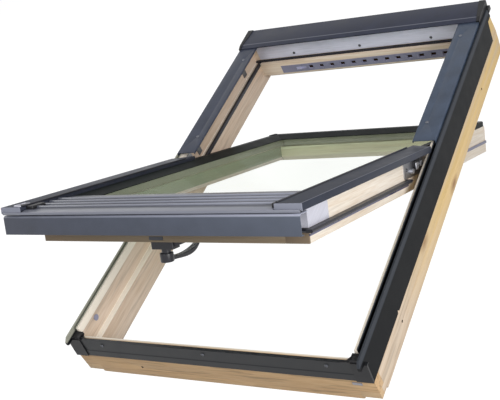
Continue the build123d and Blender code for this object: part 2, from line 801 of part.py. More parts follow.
with BuildPart() as vent_slider:
    along_y(frame, block(slider_left_x, slider_right_x, slider_low_level, slider_high_level),
            slider_low_y, slider_low_y + slider_thick)
    for x in slot_places:
        along_y(frame, block(x - vent_slot_width / 2, x + vent_slot_width / 2,
                             vent_mid_level - vent_slot_height / 2,
                             vent_mid_level + vent_slot_height / 2),
                slider_low_y - past, slider_low_y + past, Mode.SUBTRACT)
    along_y(frame, block(slider_knob_x - slider_knob_width / 2,
                         slider_knob_x + slider_knob_width / 2, vent_mid_level - slider_knob / 2,
                         vent_mid_level + slider_knob / 2),
            slider_low_y - slider_knob_reach, slider_low_y)
vent_slider.part.label = "vent_slider"
export_step(vent_slider.part, "parts/vent_slider.step")

# Pivot hinges: a plate with a pin on each jamb, an arm with a bore on each stile
for side, sign in sides:
    with BuildPart() as hinge_plate:
        along_x(frame, block(hinge_plate_low_y, hinge_plate_high_y, hinge_plate_low_level,
                             hinge_plate_high_level), sign * hinge_plate_x, sign * upper_x)
        along_x(frame, block(pivot_y - hinge_ear_radius, pivot_y + hinge_ear_radius,
                             hinge_plate_high_level, pivot_level), sign * hinge_plate_x, sign * upper_x)
        rod(section_at_x(frame, sign * hinge_plate_x), pivot_y, pivot_level, hinge_ear_radius,
            sign * (upper_x - hinge_plate_x))
        rod(section_at_x(frame, sign * hinge_collar_x), pivot_y, pivot_level, hinge_collar_radius,
            sign * (hinge_plate_x - hinge_collar_x))
        rod(section_at_x(frame, sign * hinge_pin_tip_x), pivot_y, pivot_level, hinge_pin_radius,
            sign * (hinge_plate_x - hinge_pin_tip_x))
    hinge_plate.part.label = f"{side}_hinge_plate"
    export_step(hinge_plate.part, f"parts/{side}_hinge_plate.step")

    with BuildPart() as hinge_arm:
        with BuildSketch(section_at_x(sash, sign * stile_outer_x)):
            outline(block(arm_low_y, arm_high_y, arm_low_level, arm_high_level))
            fillet(vertices(), arm_corner)
        extrude(amount=sign * arm_thick)
        along_x(sash, block(pivot_y - hinge_ear_radius, pivot_y + hinge_ear_radius,
                            arm_high_level - arm_corner, pivot_level),
                sign * stile_outer_x, sign * (stile_outer_x + arm_thick))
        rod(section_at_x(sash, sign * stile_outer_x), pivot_y, pivot_level, hinge_ear_radius,
            sign * arm_thick)
        rod(section_at_x(sash, sign * stile_outer_x), pivot_y, pivot_level,
            hinge_pin_radius + hinge_bore_clear, sign * arm_thick, Mode.SUBTRACT)
    hinge_arm.part.label = f"{side}_hinge_arm"
    export_step(hinge_arm.part, f"parts/{side}_hinge_arm.step")

arm_mid_level = (arm_low_level + arm_high_level) / 2
with BuildPart() as arm_screws:
    for side, sign in sides:
        for y in (arm_low_y + hinge_screw_inset, (arm_low_y + arm_high_y) / 2,
                  arm_high_y - hinge_screw_inset):
            rod(section_at_x(sash, sign * (stile_outer_x + arm_thick)), y, arm_mid_level,
                hinge_screw_radius, sign * hinge_screw_rise)
arm_screws.part.label = "arm_screws"
export_step(arm_screws.part, "parts/arm_screws.step")

# Bushes and striker
with BuildPart() as jamb_bushes:
    for side, sign in sides:
        rod(section_at_x(frame, sign * (upper_x - bush_rise)), bush_y, bush_level, bush_radius,
            sign * (bush_rise + bush_depth))
        rod(section_at_x(frame, sign * (upper_x - bush_rise)), bush_y, bush_level, bush_bore,
            sign * bush_depth, Mode.SUBTRACT)
jamb_bushes.part.label = "jamb_bushes"
export_step(jamb_bushes.part, "parts/jamb_bushes.step")

with BuildPart() as striker:
    along_x(frame, [(rail_room_width, striker_low_level),
                    (rail_room_width + sheet, striker_low_level),
                    (rail_room_width + sheet, striker_lip_low_level),
                    (rail_room_width + striker_lip_reach, striker_lip_low_level),
                    (rail_room_width + striker_lip_reach, striker_lip_low_level + sheet),
                    (rail_room_width + sheet, striker_lip_low_level + sheet),
                    (rail_room_width + sheet, striker_high_level),
                    (rail_room_width, striker_high_level)],
            striker_x - striker_half, striker_x + striker_half)
striker.part.label = "striker"
export_step(striker.part, "parts/striker.step")

# Sash timber with the glass rebate and the bevelled room edge
def cut_rebate_and_bevel():
    along_z(sash, block(-rebate_x, rebate_x, rebate_low_y, rebate_high_y), rebate_level,
            sash_top_level + past, Mode.SUBTRACT)
    with BuildSketch(layer_at(sash, sash_room_level)) as drawn:
        outline(block(-stile_inner_x - sash_bevel, stile_inner_x + sash_bevel,
                      opening_low_y - sash_bevel, opening_high_y + sash_bevel))
    extrude(drawn.sketch, amount=sash_bevel, taper=math.degrees(math.atan(1)), mode=Mode.SUBTRACT)


for side, sign in sides:
    with BuildPart() as stile:
        along_y(sash, sided(sign, block(stile_inner_x, stile_outer_x, sash_room_level, sash_top_level)),
                sash_low_y, sash_high_y)
        cut_rebate_and_bevel()
    stile.part.label = f"sash_{side}_stile"
    export_step(stile.part, f"parts/sash_{side}_stile.step")

with BuildPart() as sash_bottom_rail:
    along_x(sash, block(sash_low_y, opening_low_y, sash_room_level, sash_top_level),
            -stile_inner_x, stile_inner_x)
    cut_rebate_and_bevel()
    along_y(sash, block(tongue_x - tongue_half - tongue_play, tongue_x + tongue_half + tongue_play,
                        tongue_low - tongue_play, tongue_high + tongue_play),
            sash_low_y - past, sash_low_y + tongue_pocket, Mode.SUBTRACT)
sash_bottom_rail.part.label = "sash_bottom_rail"
export_step(sash_bottom_rail.part, "parts/sash_bottom_rail.step")

with BuildPart() as sash_top_rail:
    along_x(sash, block(opening_high_y, sash_high_y, sash_room_level, sash_top_level),
            -stile_inner_x, stile_inner_x)
    cut_rebate_and_bevel()
sash_top_rail.part.label = "sash_top_rail"
export_step(sash_top_rail.part, "parts/sash_top_rail.step")

# Sealed glass unit
with BuildPart() as outer_pane:
    along_z(sash, block(-glass_x, glass_x, glass_low_y, glass_high_y), outer_pane_bottom,
            sash_top_level)
outer_pane.part.label = "outer_pane"
export_step(outer_pane.part, "parts/outer_pane.step")

with BuildPart() as inner_pane:
    along_z(sash, block(-glass_x, glass_x, glass_low_y, glass_high_y), rebate_level, inner_pane_top)
inner_pane.part.label = "inner_pane"
export_step(inner_pane.part, "parts/inner_pane.step")

with BuildPart() as pane_spacer:
    along_z(sash, block(-glass_x + spacer_inset, glass_x - spacer_inset,
                        glass_low_y + spacer_inset, glass_high_y - spacer_inset),
            inner_pane_top, outer_pane_bottom)
    along_z(sash, block(-glass_x + spacer_inset + spacer_width, glass_x - spacer_inset - spacer_width,
                        glass_low_y + spacer_inset + spacer_width,
                        glass_high_y - spacer_inset - spacer_width),
            inner_pane_top, outer_pane_bottom, Mode.SUBTRACT)
pane_spacer.part.label = "pane_spacer"
export_step(pane_spacer.part, "parts/pane_spacer.step")

# Glass beads, mitred at the two upper corners
bead_section = folded([(bead_outer_x, sash_top_level), (bead_outer_x, bead_level),
                       (bead_flat_x, bead_level), (bead_inner_x, sash_top_level + bead_foot),
                       (bead_inner_x, sash_top_level)][::-1], bead_wall)
for side, sign in sides:
    mitre = Plane(origin=sash.from_local_coords((sign * bead_outer_x, bead_high_y, bead_level)),
                  x_dir=sash.z_dir,
                  z_dir=sash.x_dir * (-sign * head_bead_width) + sash.y_dir * bead_reach)
    with BuildPart() as glass_bead:
        along_y(sash, sided(sign, bead_section), bead_low_y, bead_high_y)
        split(bisect_by=mitre, keep=Keep.BOTTOM)
    glass_bead.part.label = f"{side}_glass_bead"
    export_step(glass_bead.part, f"parts/{side}_glass_bead.step")

head_section = folded([(bead_high_y, sash_top_level), (bead_high_y, bead_level),
                       (head_bead_flat_y, bead_level), (head_bead_inner_y, sash_top_level + bead_foot),
                       (head_bead_inner_y, sash_top_level)][::-1], bead_wall)
with BuildPart() as top_glass_bead:
    along_x(sash, head_section, -bead_outer_x, bead_outer_x)
    for side, sign in sides:
        mitre = Plane(origin=sash.from_local_coords((sign * bead_outer_x, bead_high_y, bead_level)),
                      x_dir=sash.z_dir,
                      z_dir=sash.x_dir * (-sign * head_bead_width) + sash.y_dir * bead_reach)
        split(bisect_by=mitre, keep=Keep.TOP)
top_glass_bead.part.label = "top_glass_bead"
export_step(top_glass_bead.part, "parts/top_glass_bead.step")

with BuildPart() as bead_corners:
    for side, sign in sides:
        along_z(sash, sided(sign, block(corner_piece_inner_x, bead_outer_x, corner_piece_low_y,
                                        corner_piece_high_y)),
                bead_level, bead_level + corner_piece_rise)
bead_corners.part.label = "bead_corners"
export_step(bead_corners.part, "parts/bead_corners.step")

# Covers of the lower half, which travel with the sash
for side, sign in sides:
    with BuildPart() as lower_cover:
        along_y(sash, sided(sign, folded([(cover_inner_x, bead_level), (cover_inner_x, cover_level),
                                          (cover_outer_x, cover_level),
                                          (cover_outer_x, lower_cover_flange_level)], sheet)),
                lower_cover_low_y, lower_cover_inner_end)
        slope = Axis(sash.origin, sash.y_dir)
        outward = Axis(sash.origin, sash.z_dir)
        fillet(edges().filter_by(slope).sort_by(outward)[-2:], cover_bend)
        along_y(sash, sided(sign, block(cover_inner_x, cover_outer_x, drip_nose_top,
                                        cover_level - cover_bend)),
                lower_cover_low_y, lower_cover_low_y + sheet)
        along_z(sash, sided(sign, [(cover_inner_x, lower_cover_inner_end),
                                   (upper_x, lower_cover_kink_end),
                                   (cover_outer_x, lower_cover_outer_end),
                                   (cover_outer_x + past, lower_cover_outer_end),
                                   (cover_outer_x + past, lower_cover_inner_end + past),
                                   (cover_inner_x, lower_cover_inner_end + past)]),
                sash_room_level, cover_level + past, Mode.SUBTRACT)
    lower_cover.part.label = f"{side}_lower_cover"
    export_step(lower_cover.part, f"parts/{side}_lower_cover.step")

# Ribbed drip profile over the lower edge of the glass
with BuildPart() as drip_profile:
    along_x(sash, folded([(drip_nose_y, drip_nose_bottom), (drip_nose_y, drip_nose_top),
                          (drip_bend_y, drip_level), (opening_low_y, drip_level),
                          (opening_low_y, sash_top_level)], drip_sheet), -drip_half, drip_half)
    along_x(sash, block(drip_front_leg_y, drip_front_leg_y + drip_sheet, apron_high_level, drip_level),
            -drip_half, drip_half)
    along_x(sash, block(drip_nose_y, drip_nose_y + drip_nose_depth, drip_nose_bottom, drip_nose_top),
            -apron_half, apron_half)
    for i in range(rib_count):
        with BuildSketch(section_at_x(sash, -drip_half)):
            with Locations((rib_first_y + i * rib_pitch, drip_level)):
                Circle(rib_radius)
            with Locations((rib_first_y + i * rib_pitch, drip_level - drip_sheet / 2 - rib_radius)):
                Rectangle(rib_radius * 2, rib_radius * 2, mode=Mode.SUBTRACT)
        extrude(amount=drip_half + drip_half)
drip_profile.part.label = "drip_profile"
export_step(drip_profile.part, "parts/drip_profile.step")

with BuildPart() as front_apron:
    with BuildSketch(section_at_x(sash, -apron_half)):
        outline([(apron_front_y, apron_low_level), (apron_front_y, apron_high_level),
                 (apron_wing_y, apron_high_level), (apron_wing_y, apron_high_level - sheet),
                 (apron_front_y + sheet, apron_high_level - sheet),
                 (apron_front_y + sheet, apron_low_level + sheet),
                 (apron_front_y + apron_lip, apron_low_level + sheet),
                 (apron_front_y + apron_lip, apron_low_level)])
        fillet(vertices().sort_by_distance((apron_front_y, apron_high_level))[0], apron_bend)
        fillet(vertices().sort_by_distance((apron_front_y + sheet, apron_high_level - sheet))[0],
               apron_bend - sheet)
    extrude(amount=apron_half + apron_half)
    along_x(sash, block(apron_wing_y, apron_web_end, apron_high_level - sheet, apron_high_level),
            -apron_web_half, apron_web_half)
front_apron.part.label = "front_apron"
export_step(front_apron.part, "parts/front_apron.step")

with BuildPart() as apron_clips:
    for side, sign in sides:
        with BuildSketch(section_at_y(sash, clip_block_low_y)):
            outline(sided(sign, block(clip_block_inner_x, clip_block_outer_x, apron_high_level,
                                      clip_block_level)))
            fillet(vertices().group_by(Axis.Y)[-1], clip_block_round)
        extrude(amount=clip_block_low_y - clip_block_high_y)
apron_clips.part.label = "apron_clips"
export_step(apron_clips.part, "parts/apron_clips.step")

# Plates and seals on the sash
for side, sign in sides:
    with BuildPart() as corner_metal:
        along_x(sash, block(sash_low_y - corner_plate, corner_plate_high_y, corner_plate_low_level,
                            corner_plate_high_level),
                sign * stile_outer_x, sign * (stile_outer_x + corner_plate))
        along_x(sash, block(sash_low_y - corner_plate, sash_low_y, corner_plate_low_level,
                            corner_plate_high_level),
                sign * (stile_outer_x - corner_plate_wrap), sign * stile_outer_x)
    corner_metal.part.label = f"{side}_corner_plate"
    export_step(corner_metal.part, f"parts/{side}_corner_plate.step")

seal_mid_level = (seal_low_level + seal_high_level) / 2
with BuildPart() as sash_seal:
    for side, sign in sides:
        along_y(sash, sided(sign, [(stile_outer_x, seal_low_level),
                                   (seal_outer_x - seal_tip, seal_low_level),
                                   (seal_outer_x, seal_mid_level),
                                   (seal_outer_x - seal_tip, seal_high_level),
                                   (stile_outer_x, seal_high_level)]),
                sash_low_y - seal_reach, seal_high_y)
    along_x(sash, [(sash_low_y, seal_low_level), (sash_low_y - seal_reach + seal_tip, seal_low_level),
                   (sash_low_y - seal_reach, seal_mid_level),
                   (sash_low_y - seal_reach + seal_tip, seal_high_level),
                   (sash_low_y, seal_high_level)], -stile_outer_x, stile_outer_x)
sash_seal.part.label = "sash_seal"
export_step(sash_seal.part, "parts/sash_seal.step")

with BuildPart() as thin_seals:
    for side, sign in sides:
        along_y(sash, sided(sign, block(stile_outer_x, stile_outer_x + thin_seal, thin_seal_low_level,
                                        thin_seal_high_level)), sash_low_y, seal_high_y)
        along_y(sash, sided(sign, block(stile_outer_x, stile_outer_x + upper_seal,
                                        upper_seal_low_level, upper_seal_high_level)),
                upper_seal_low_y, upper_seal_high_y)
thin_seals.part.label = "thin_seals"
export_step(thin_seals.part, "parts/thin_seals.step")

# Handle with its catch, lever and the tongue it throws
base_level = sash_room_level - base_thick
with BuildPart() as handle_base:
    with BuildSketch(layer_at(sash, base_level)):
        with Locations((handle_x, handle_y)):
            RectangleRounded(base_half_x * 2, base_half_y * 2, base_round)
    extrude(amount=base_thick)
    along_y(sash, [(handle_x + base_half_x - base_round, sash_room_level), (catch_end_x, sash_room_level),
                   (catch_end_x, sash_room_level - catch_step),
                   (handle_x + base_half_x - base_round, sash_room_level - catch_thick)],
            handle_y - catch_half_y, handle_y + catch_half_y)
handle_base.part.label = "handle_base"
export_step(handle_base.part, "parts/handle_base.step")

with BuildPart() as handle_lever:
    with BuildSketch(section_at_x(sash, handle_x - lever_half_x)):
        with BuildLine():
            low = Spline((handle_y, hub_low_level), (lever_bend_y, hub_low_level - lever_bend_drop),
                         (lever_rise_y, hub_low_level),
                         (lever_tip_y, hub_low_level + lever_tip_rise))
            tip = Line(low @ 1, (lever_tip_y - lever_tip_width, hub_low_level + lever_tip_rise
                                 + lever_tip_width / 2))
            high = Spline(tip @ 1, (lever_rise_y - lever_tip_width, hub_low_level + lever_thick),
                          (lever_bend_y, hub_low_level - lever_bend_drop + lever_thick),
                          (handle_y, hub_low_level + lever_thick + lever_bend_drop))
            Line(high @ 1, low @ 0)
        make_face()
    extrude(amount=lever_half_x + lever_half_x)
    fillet(edges().filter_by(GeomType.BSPLINE), lever_round)
    rod(layer_at(sash, hub_low_level), handle_x, handle_y, hub_radius,
        base_level - hub_play - hub_low_level)
handle_lever.part.label = "handle_lever"
export_step(handle_lever.part, "parts/handle_lever.step")

with BuildPart() as latch_tongue:
    along_y(sash, block(tongue_x - tongue_half, tongue_x + tongue_half, tongue_low, tongue_high),
            sash_low_y, sash_low_y + tongue_length)
latch_tongue.part.label = "latch_tongue"
export_step(latch_tongue.part, "parts/latch_tongue.step")
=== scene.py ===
import json
import math

import bmesh
import bpy
from bpy.props import FloatProperty, FloatVectorProperty, PointerProperty
from mathutils import Matrix, Vector


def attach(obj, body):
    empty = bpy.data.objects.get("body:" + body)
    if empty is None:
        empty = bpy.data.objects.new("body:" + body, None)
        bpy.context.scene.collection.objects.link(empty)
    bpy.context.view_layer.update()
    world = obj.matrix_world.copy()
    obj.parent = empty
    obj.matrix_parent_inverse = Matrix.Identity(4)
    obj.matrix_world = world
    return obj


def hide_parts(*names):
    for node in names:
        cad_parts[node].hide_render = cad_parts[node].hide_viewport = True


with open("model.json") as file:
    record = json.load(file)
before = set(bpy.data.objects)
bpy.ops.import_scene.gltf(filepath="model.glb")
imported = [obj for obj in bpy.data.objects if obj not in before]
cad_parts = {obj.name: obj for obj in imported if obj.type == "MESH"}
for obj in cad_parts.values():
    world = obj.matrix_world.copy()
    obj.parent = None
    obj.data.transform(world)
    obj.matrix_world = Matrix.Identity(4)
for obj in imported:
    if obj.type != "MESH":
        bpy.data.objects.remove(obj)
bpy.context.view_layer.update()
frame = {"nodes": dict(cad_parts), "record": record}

bl_info = {
    "name": "Roof Skylight Dresser",
    "version": (1, 0, 0),
    "blender": (4, 5, 0),
    "location": "View3D > Sidebar > Skylight",
    "description": "Gives a packed centre pivot roof window its timber, coated sheet, glass and fittings",
    "category": "Object",
}

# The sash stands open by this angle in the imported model, and its grain follows it
SASH_TURN = math.radians(33.3)
PIVOT = Vector((0.0, 0.514, 0.112))
SASH_BODY = Matrix.Translation(PIVOT) @ Matrix.Rotation(-SASH_TURN, 4, "X") @ Matrix.Translation(-PIVOT)

# Places and sizes are in metres. On the frame, side is X from the middle, along is Y and level is Z.
# On the sash, across is X, and along and out are Y and Z of the closed sash
SOFT_EDGE = 0.0006
WELD = 1e-6
# Angles in degrees: faces taken as flat, edges that are rounded, edges that are shaded sharp
FLAT_ANGLE, SOFTENED_ANGLE, NODE_SHARP, PIECE_SHARP = 0.5, 28.0, 35.0, 40.0

# Ends of a noise's usual spread
NOISE_SPREAD = (0.3, 0.7)
# Coats: where the pebbles darken, by how much, and how far the roughness strays
PEBBLE_STOPS, PEBBLE_SHARE, COAT_SMOOTHER, COAT_ROUGHER = (0.3, 0.65), 0.88, 0.05, 0.06
# Bare metal: stretch and shares of the drawn lines, tone of the clouds, how far the roughness strays
DRAWN_STRETCH, DRAWN_SHARES, CLOUD_SHARE = 0.02, (0.86, 1.06), 0.9
DRAWN_SMOOTHER, DRAWN_ROUGHER = 0.06, 0.08

# Options of every colour setting
COLOUR = {"subtype": "COLOR", "size": 3, "min": 0.0, "max": 1.0}


class TimberSettings(bpy.types.PropertyGroup):
    """Colours and edges of the pine frame and sash."""

    early_wood: FloatVectorProperty(
        name="Early wood", description="Pale part of a growth ring", default=(0.82, 0.69, 0.535), **COLOUR)
    late_wood: FloatVectorProperty(
        name="Late wood", description="Dark line of a growth ring", default=(0.66, 0.49, 0.325), **COLOUR)
    knot_wood: FloatVectorProperty(
        name="Knots", description="Middle of a knot", default=(0.25, 0.12, 0.05), **COLOUR)
    # Painted shade and green glass tint on the inner faces of the stiles under the panes
    glass_shaded_wood: FloatVectorProperty(
        name="Wood under glass", description="Wood seen through the green panes",
        default=(0.33, 0.345, 0.255), **COLOUR)
    honey_wood: FloatVectorProperty(
        name="Honey streaks", description="Golden heartwood in the outer faces",
        default=(0.70, 0.49, 0.20), **COLOUR)
    # Painted highlight on the lip, the ledges and the top of the sill
    painted_edge_light: FloatVectorProperty(
        name="Planed edges", description="Pale lip and ledge that catch the light",
        default=(0.90, 0.83, 0.73), **COLOUR)
    edge_round: FloatProperty(
        name="Edge rounding", description="Sanded edge of the timber", unit="LENGTH",
        min=0.0, default=0.0009)


class SheetSettings(bpy.types.PropertyGroup):
    """Colours of the coated and bare metal sheets."""

    slate: FloatVectorProperty(
        name="Slate coat", description="Coat of the covers, the hood and the apron",
        default=(0.058, 0.064, 0.084), **COLOUR)
    black: FloatVectorProperty(
        name="Black coat", description="Coat of the profiles round the frame",
        default=(0.0062, 0.0068, 0.0080), **COLOUR)
    # Painted light on the black side profiles: grey on the right ridge and fin, olive grey on the left
    # ridge, fin and channel
    ridge: FloatVectorProperty(
        name="Ridge", description="Worn grey along the ridge of the right profile",
        default=(0.045, 0.050, 0.060), **COLOUR)
    ridge_lit: FloatVectorProperty(
        name="Lit ridge", description="Olive grey along the ridge of the left profile",
        default=(0.36, 0.36, 0.30), **COLOUR)
    ribs: FloatVectorProperty(
        name="Ribs", description="Glossier coat of the ribbed profile",
        default=(0.085, 0.091, 0.118), **COLOUR)
    # Painted highlight on bent edges, creases and rib tops
    painted_glint: FloatVectorProperty(
        name="Glint", description="Bent edges and rib tops that catch the light",
        default=(0.42, 0.44, 0.54), **COLOUR)
    spacer: FloatVectorProperty(
        name="Spacer", description="Bar between the two panes", default=(0.40, 0.40, 0.32), **COLOUR)
    silver: FloatVectorProperty(
        name="Bare aluminium", description="Strip at the head and plates at the corners",
        default=(0.70, 0.70, 0.79), **COLOUR)
    bead: FloatVectorProperty(
        name="Bead coat", description="Coat of the beads that hold the glass",
        default=(0.014, 0.017, 0.017), **COLOUR)
    edge_round: FloatProperty(
        name="Edge rounding", description="Rolled edge of the sheets", unit="LENGTH",
        min=0.0, default=0.0004)


class GlassSettings(bpy.types.PropertyGroup):
    """Look of the sealed glass unit."""

    sight_tint: FloatVectorProperty(
        name="Tint", description="Colour that one face of a pane lets through",
        default=(0.994, 0.999, 0.992), **COLOUR)
    light_tint: FloatVectorProperty(
        name="Light tint", description="Colour of the light that one face of a pane lets through",
        default=(0.90, 0.94, 0.89), **COLOUR)
    bending: FloatProperty(
        name="Refractive index", description="How strongly the panes bend light", min=1.0, max=2.0,
        default=1.5)


class FittingSettings(bpy.types.PropertyGroup):
    """Sizes and colours of the screws, seals and fittings."""

    screw_head: FloatProperty(
        name="Screw head", description="Radius of a screw head", unit="LENGTH", min=0.001, default=0.0036)
    screw_rise: FloatProperty(
        name="Screw rise", description="Height of a screw head", unit="LENGTH", min=0.0005, default=0.0016)
    screw_metal: FloatVectorProperty(
        name="Screw metal", description="Burnished steel of the screws",
        default=(0.10, 0.105, 0.12), **COLOUR)
    steel: FloatVectorProperty(
        name="Hinge steel", description="Zinc plated steel of the hinges",
        default=(0.55, 0.56, 0.60), **COLOUR)
    rubber: FloatVectorProperty(
        name="Rubber", description="Seals and gaskets", default=(0.016, 0.016, 0.024), **COLOUR)
    plastic: FloatVectorProperty(
        name="Black plastic", description="Corner caps and clips", default=(0.011, 0.011, 0.013), **COLOUR)
    vent_grey: FloatVectorProperty(
        name="Vent grey", description="Ventilator bar and bushes", default=(0.26, 0.26, 0.36), **COLOUR)
    handle_coat: FloatVectorProperty(
        name="Handle coat", description="Anthracite coat of the handle",
        default=(0.020, 0.020, 0.026), **COLOUR)


class StageSettings(bpy.types.PropertyGroup):
    """Floor, light and camera."""

    floor_level: FloatProperty(
        name="Floor level", description="Height of the floor below the frame", unit="LENGTH", default=-0.36)
    floor_half: FloatProperty(
        name="Floor half width", description="Half the width of the floor", unit="LENGTH", default=9.0)
    sky_light: FloatProperty(
        name="Sky light", description="Strength of the even light from all round", min=0.0, default=0.40)
    key_power: FloatProperty(
        name="Key light", description="Power of the soft lamp on the right", unit="POWER", min=0.0,
        default=66.0)
    front_power: FloatProperty(
        name="Front light", description="Power of the soft lamp in front", unit="POWER", min=0.0,
        default=30.0)
    fill_power: FloatProperty(
        name="Fill light", description="Power of the soft lamp on the left", unit="POWER", min=0.0,
        default=13.0)
    lens: FloatProperty(
        name="Lens", description="Focal length of the camera in millimetres", min=1.0, default=67.62)


def feed(tree, socket, value):
    """Links a socket to another one, or sets it to a plain number, vector or colour."""
    if isinstance(value, bpy.types.NodeSocket):
        tree.links.new(value, socket)
    elif socket.type == "RGBA":
        socket.default_value = (*value[:3], 1.0)
    else:
        socket.default_value = value


def set_inputs(tree, node, values):
    for name, value in values.items():
        feed(tree, node.inputs[name], value)


def new_node(tree, kind, values):
    """A shader node with its inputs linked or set."""
    node = tree.nodes.new("ShaderNode" + kind)
    set_inputs(tree, node, values)
    return node


def fresh_material(name):
    """A material with an output and one principled shader."""
    material = bpy.data.materials.new(name)
    material.use_nodes = True
    tree = material.node_tree
    tree.nodes.clear()
    shader = new_node(tree, "BsdfPrincipled", {})
    new_node(tree, "OutputMaterial", {"Surface": shader.outputs["BSDF"]})
    return material, tree, shader


def surface_points(tree, turn=(0.0, 0.0, 0.0), stretch=(1.0, 1.0, 1.0)):
    """Object coordinates, first turned and then stretched."""
    place = tree.nodes.new("ShaderNodeTexCoord").outputs["Object"]
    turned = new_node(tree, "Mapping", {"Vector": place, "Rotation": turn})
    stretched = new_node(tree, "Mapping", {"Vector": turned.outputs["Vector"], "Scale": stretch})
    return stretched.outputs["Vector"]


def grain_noise(tree, points, scale, detail=2.0, roughness=0.5, distortion=0.0):
    noise = new_node(tree, "TexNoise", {"Vector": points, "Scale": scale, "Detail": detail,
                                        "Roughness": roughness, "Distortion": distortion})
    return noise.outputs["Fac"]


def colour_steps(tree, factor, places, colours):
    """Colours set at places on a scale from nothing to one."""
    ramp = new_node(tree, "ValToRGB", {"Fac": factor})
    elements = ramp.color_ramp.elements
    while len(elements) < len(places):
        elements.new(0.5)
    for element, place, colour in zip(elements, places, colours):
        element.position = place
        element.color = (*colour[:3], 1.0)
    return ramp.outputs["Color"]


def grey_steps(tree, factor, places, levels):
    return colour_steps(tree, factor, places, [(level,) * 3 for level in levels])


def spread_colours(tree, noise, low, high):
    """Two colours, one at each end of a noise's usual spread."""
    return colour_steps(tree, noise, NOISE_SPREAD, (low, high))


def spread_greys(tree, noise, low, high):
    """Two levels of grey, one at each end of a noise's usual spread."""
    return grey_steps(tree, noise, NOISE_SPREAD, (low, high))


def mix_colours(tree, factor, first, second, mode="MIX"):
    mix = tree.nodes.new("ShaderNodeMix")
    mix.data_type = "RGBA"
    mix.blend_type = mode
    for socket, value in zip([s for s in mix.inputs if s.enabled], (factor, first, second)):
        feed(tree, socket, value)
    return next(s for s in mix.outputs if s.enabled)


def darken(tree, colour, greys):
    return mix_colours(tree, 1.0, colour, greys, "MULTIPLY")


def number_mix(tree, operation, first, second):
    sums = tree.nodes.new("ShaderNodeMath")
    sums.operation = operation
    for socket, value in zip(sums.inputs, (first, second)):
        feed(tree, socket, value)
    return sums.outputs["Value"]


def raise_bumps(tree, shader, height, strength, distance):
    bump = new_node(tree, "Bump", {"Height": height, "Strength": strength, "Distance": distance})
    feed(tree, shader.inputs["Normal"], bump.outputs["Normal"])


def shaded(colour, share):
    return tuple(channel * share for channel in colour)


def toned(colour, tone):
    return tuple(channel * share for channel, share in zip(colour, tone))


def place_axes(tree):
    """Object coordinates taken apart, with X counted from the middle."""
    place = tree.nodes.new("ShaderNodeTexCoord").outputs["Object"]
    apart = new_node(tree, "SeparateXYZ", {"Vector": place})
    side = number_mix(tree, "ABSOLUTE", apart.outputs["X"], 0.0)
    return side, apart.outputs["Y"], apart.outputs["Z"]


def sash_axes(tree):
    """X from left to right, and the places along and out of the closed sash."""
    apart = new_node(tree, "SeparateXYZ", {"Vector": surface_points(tree, (SASH_TURN, 0.0, 0.0))})
    back = SASH_BODY.inverted() @ Vector((0.0, 0.0, 0.0))
    along = number_mix(tree, "ADD", apart.outputs["Y"], back.y)
    out = number_mix(tree, "ADD", apart.outputs["Z"], back.z)
    return apart.outputs["X"], along, out


def ramp_between(tree, value, start, end):
    """Nothing at the start and one at the end, which may lie on either side."""
    span = new_node(tree, "MapRange", {"Value": value, "From Min": start, "From Max": end})
    return span.outputs["Result"]


def cross_masks(tree, first, second):
    """One only where both masks are one."""
    return number_mix(tree, "MULTIPLY", first, second)


def band(tree, value, low, high, soft):
    """One between two levels and nothing beside them."""
    return cross_masks(tree, ramp_between(tree, value, low - soft, low),
                       ramp_between(tree, value, high + soft, high))


def two_ramps(tree, first, first_ends, second, second_ends):
    """One only where both values are past the ends of their ramps."""
    return cross_masks(tree, ramp_between(tree, first, *first_ends),
                       ramp_between(tree, second, *second_ends))


def paint_over(material, mask, colour):
    """Lays a colour over the base colour of a finish where a mask says so."""
    tree = material.node_tree
    shader = next(n for n in tree.nodes if n.type == "BSDF_PRINCIPLED")
    under = shader.inputs["Base Color"].links[0].from_socket
    tree.links.new(mix_colours(tree, mask, under, colour), shader.inputs["Base Color"])


# How much the patterns of the pine are drawn out along the grain, and the knots across it
FIBRE_STRETCH, BROAD_STRETCH, KNOT_STRETCH, KNOT_WIDENING = 0.045, 0.35, 0.42, 0.1
# Where the patterns of the pine change colour, on the scale of their noise
RING_STOPS, FIBRE_STOPS, LINE_STOPS = (0.30, 0.45, 0.60), (0.35, 0.6), (0.36, 0.47)
GOLD_STOPS, KNOT_STOPS = (0.40, 0.58), (0.06, 0.10, 0.17)
KNOT_SCALE, KNOT_RAGGEDNESS = 10.5, 0.05
# Shares of the full strength: tone of the darker boards, palest honey and the rim of a knot
BOARD_SHARE, GOLD_SHARE, KNOT_RIM_SHARE = 0.86, 0.42, 0.55
HONEY_ALONG = (0.16, 0.46)
LACQUER_ROUGHNESS = (0.5, 0.62)


def along_grain(grain, along, across=1.0):
    """Stretch of a pattern whose grain runs along X or Y."""
    return (along, across, 1.0) if grain == "X" else (across, along, 1.0)


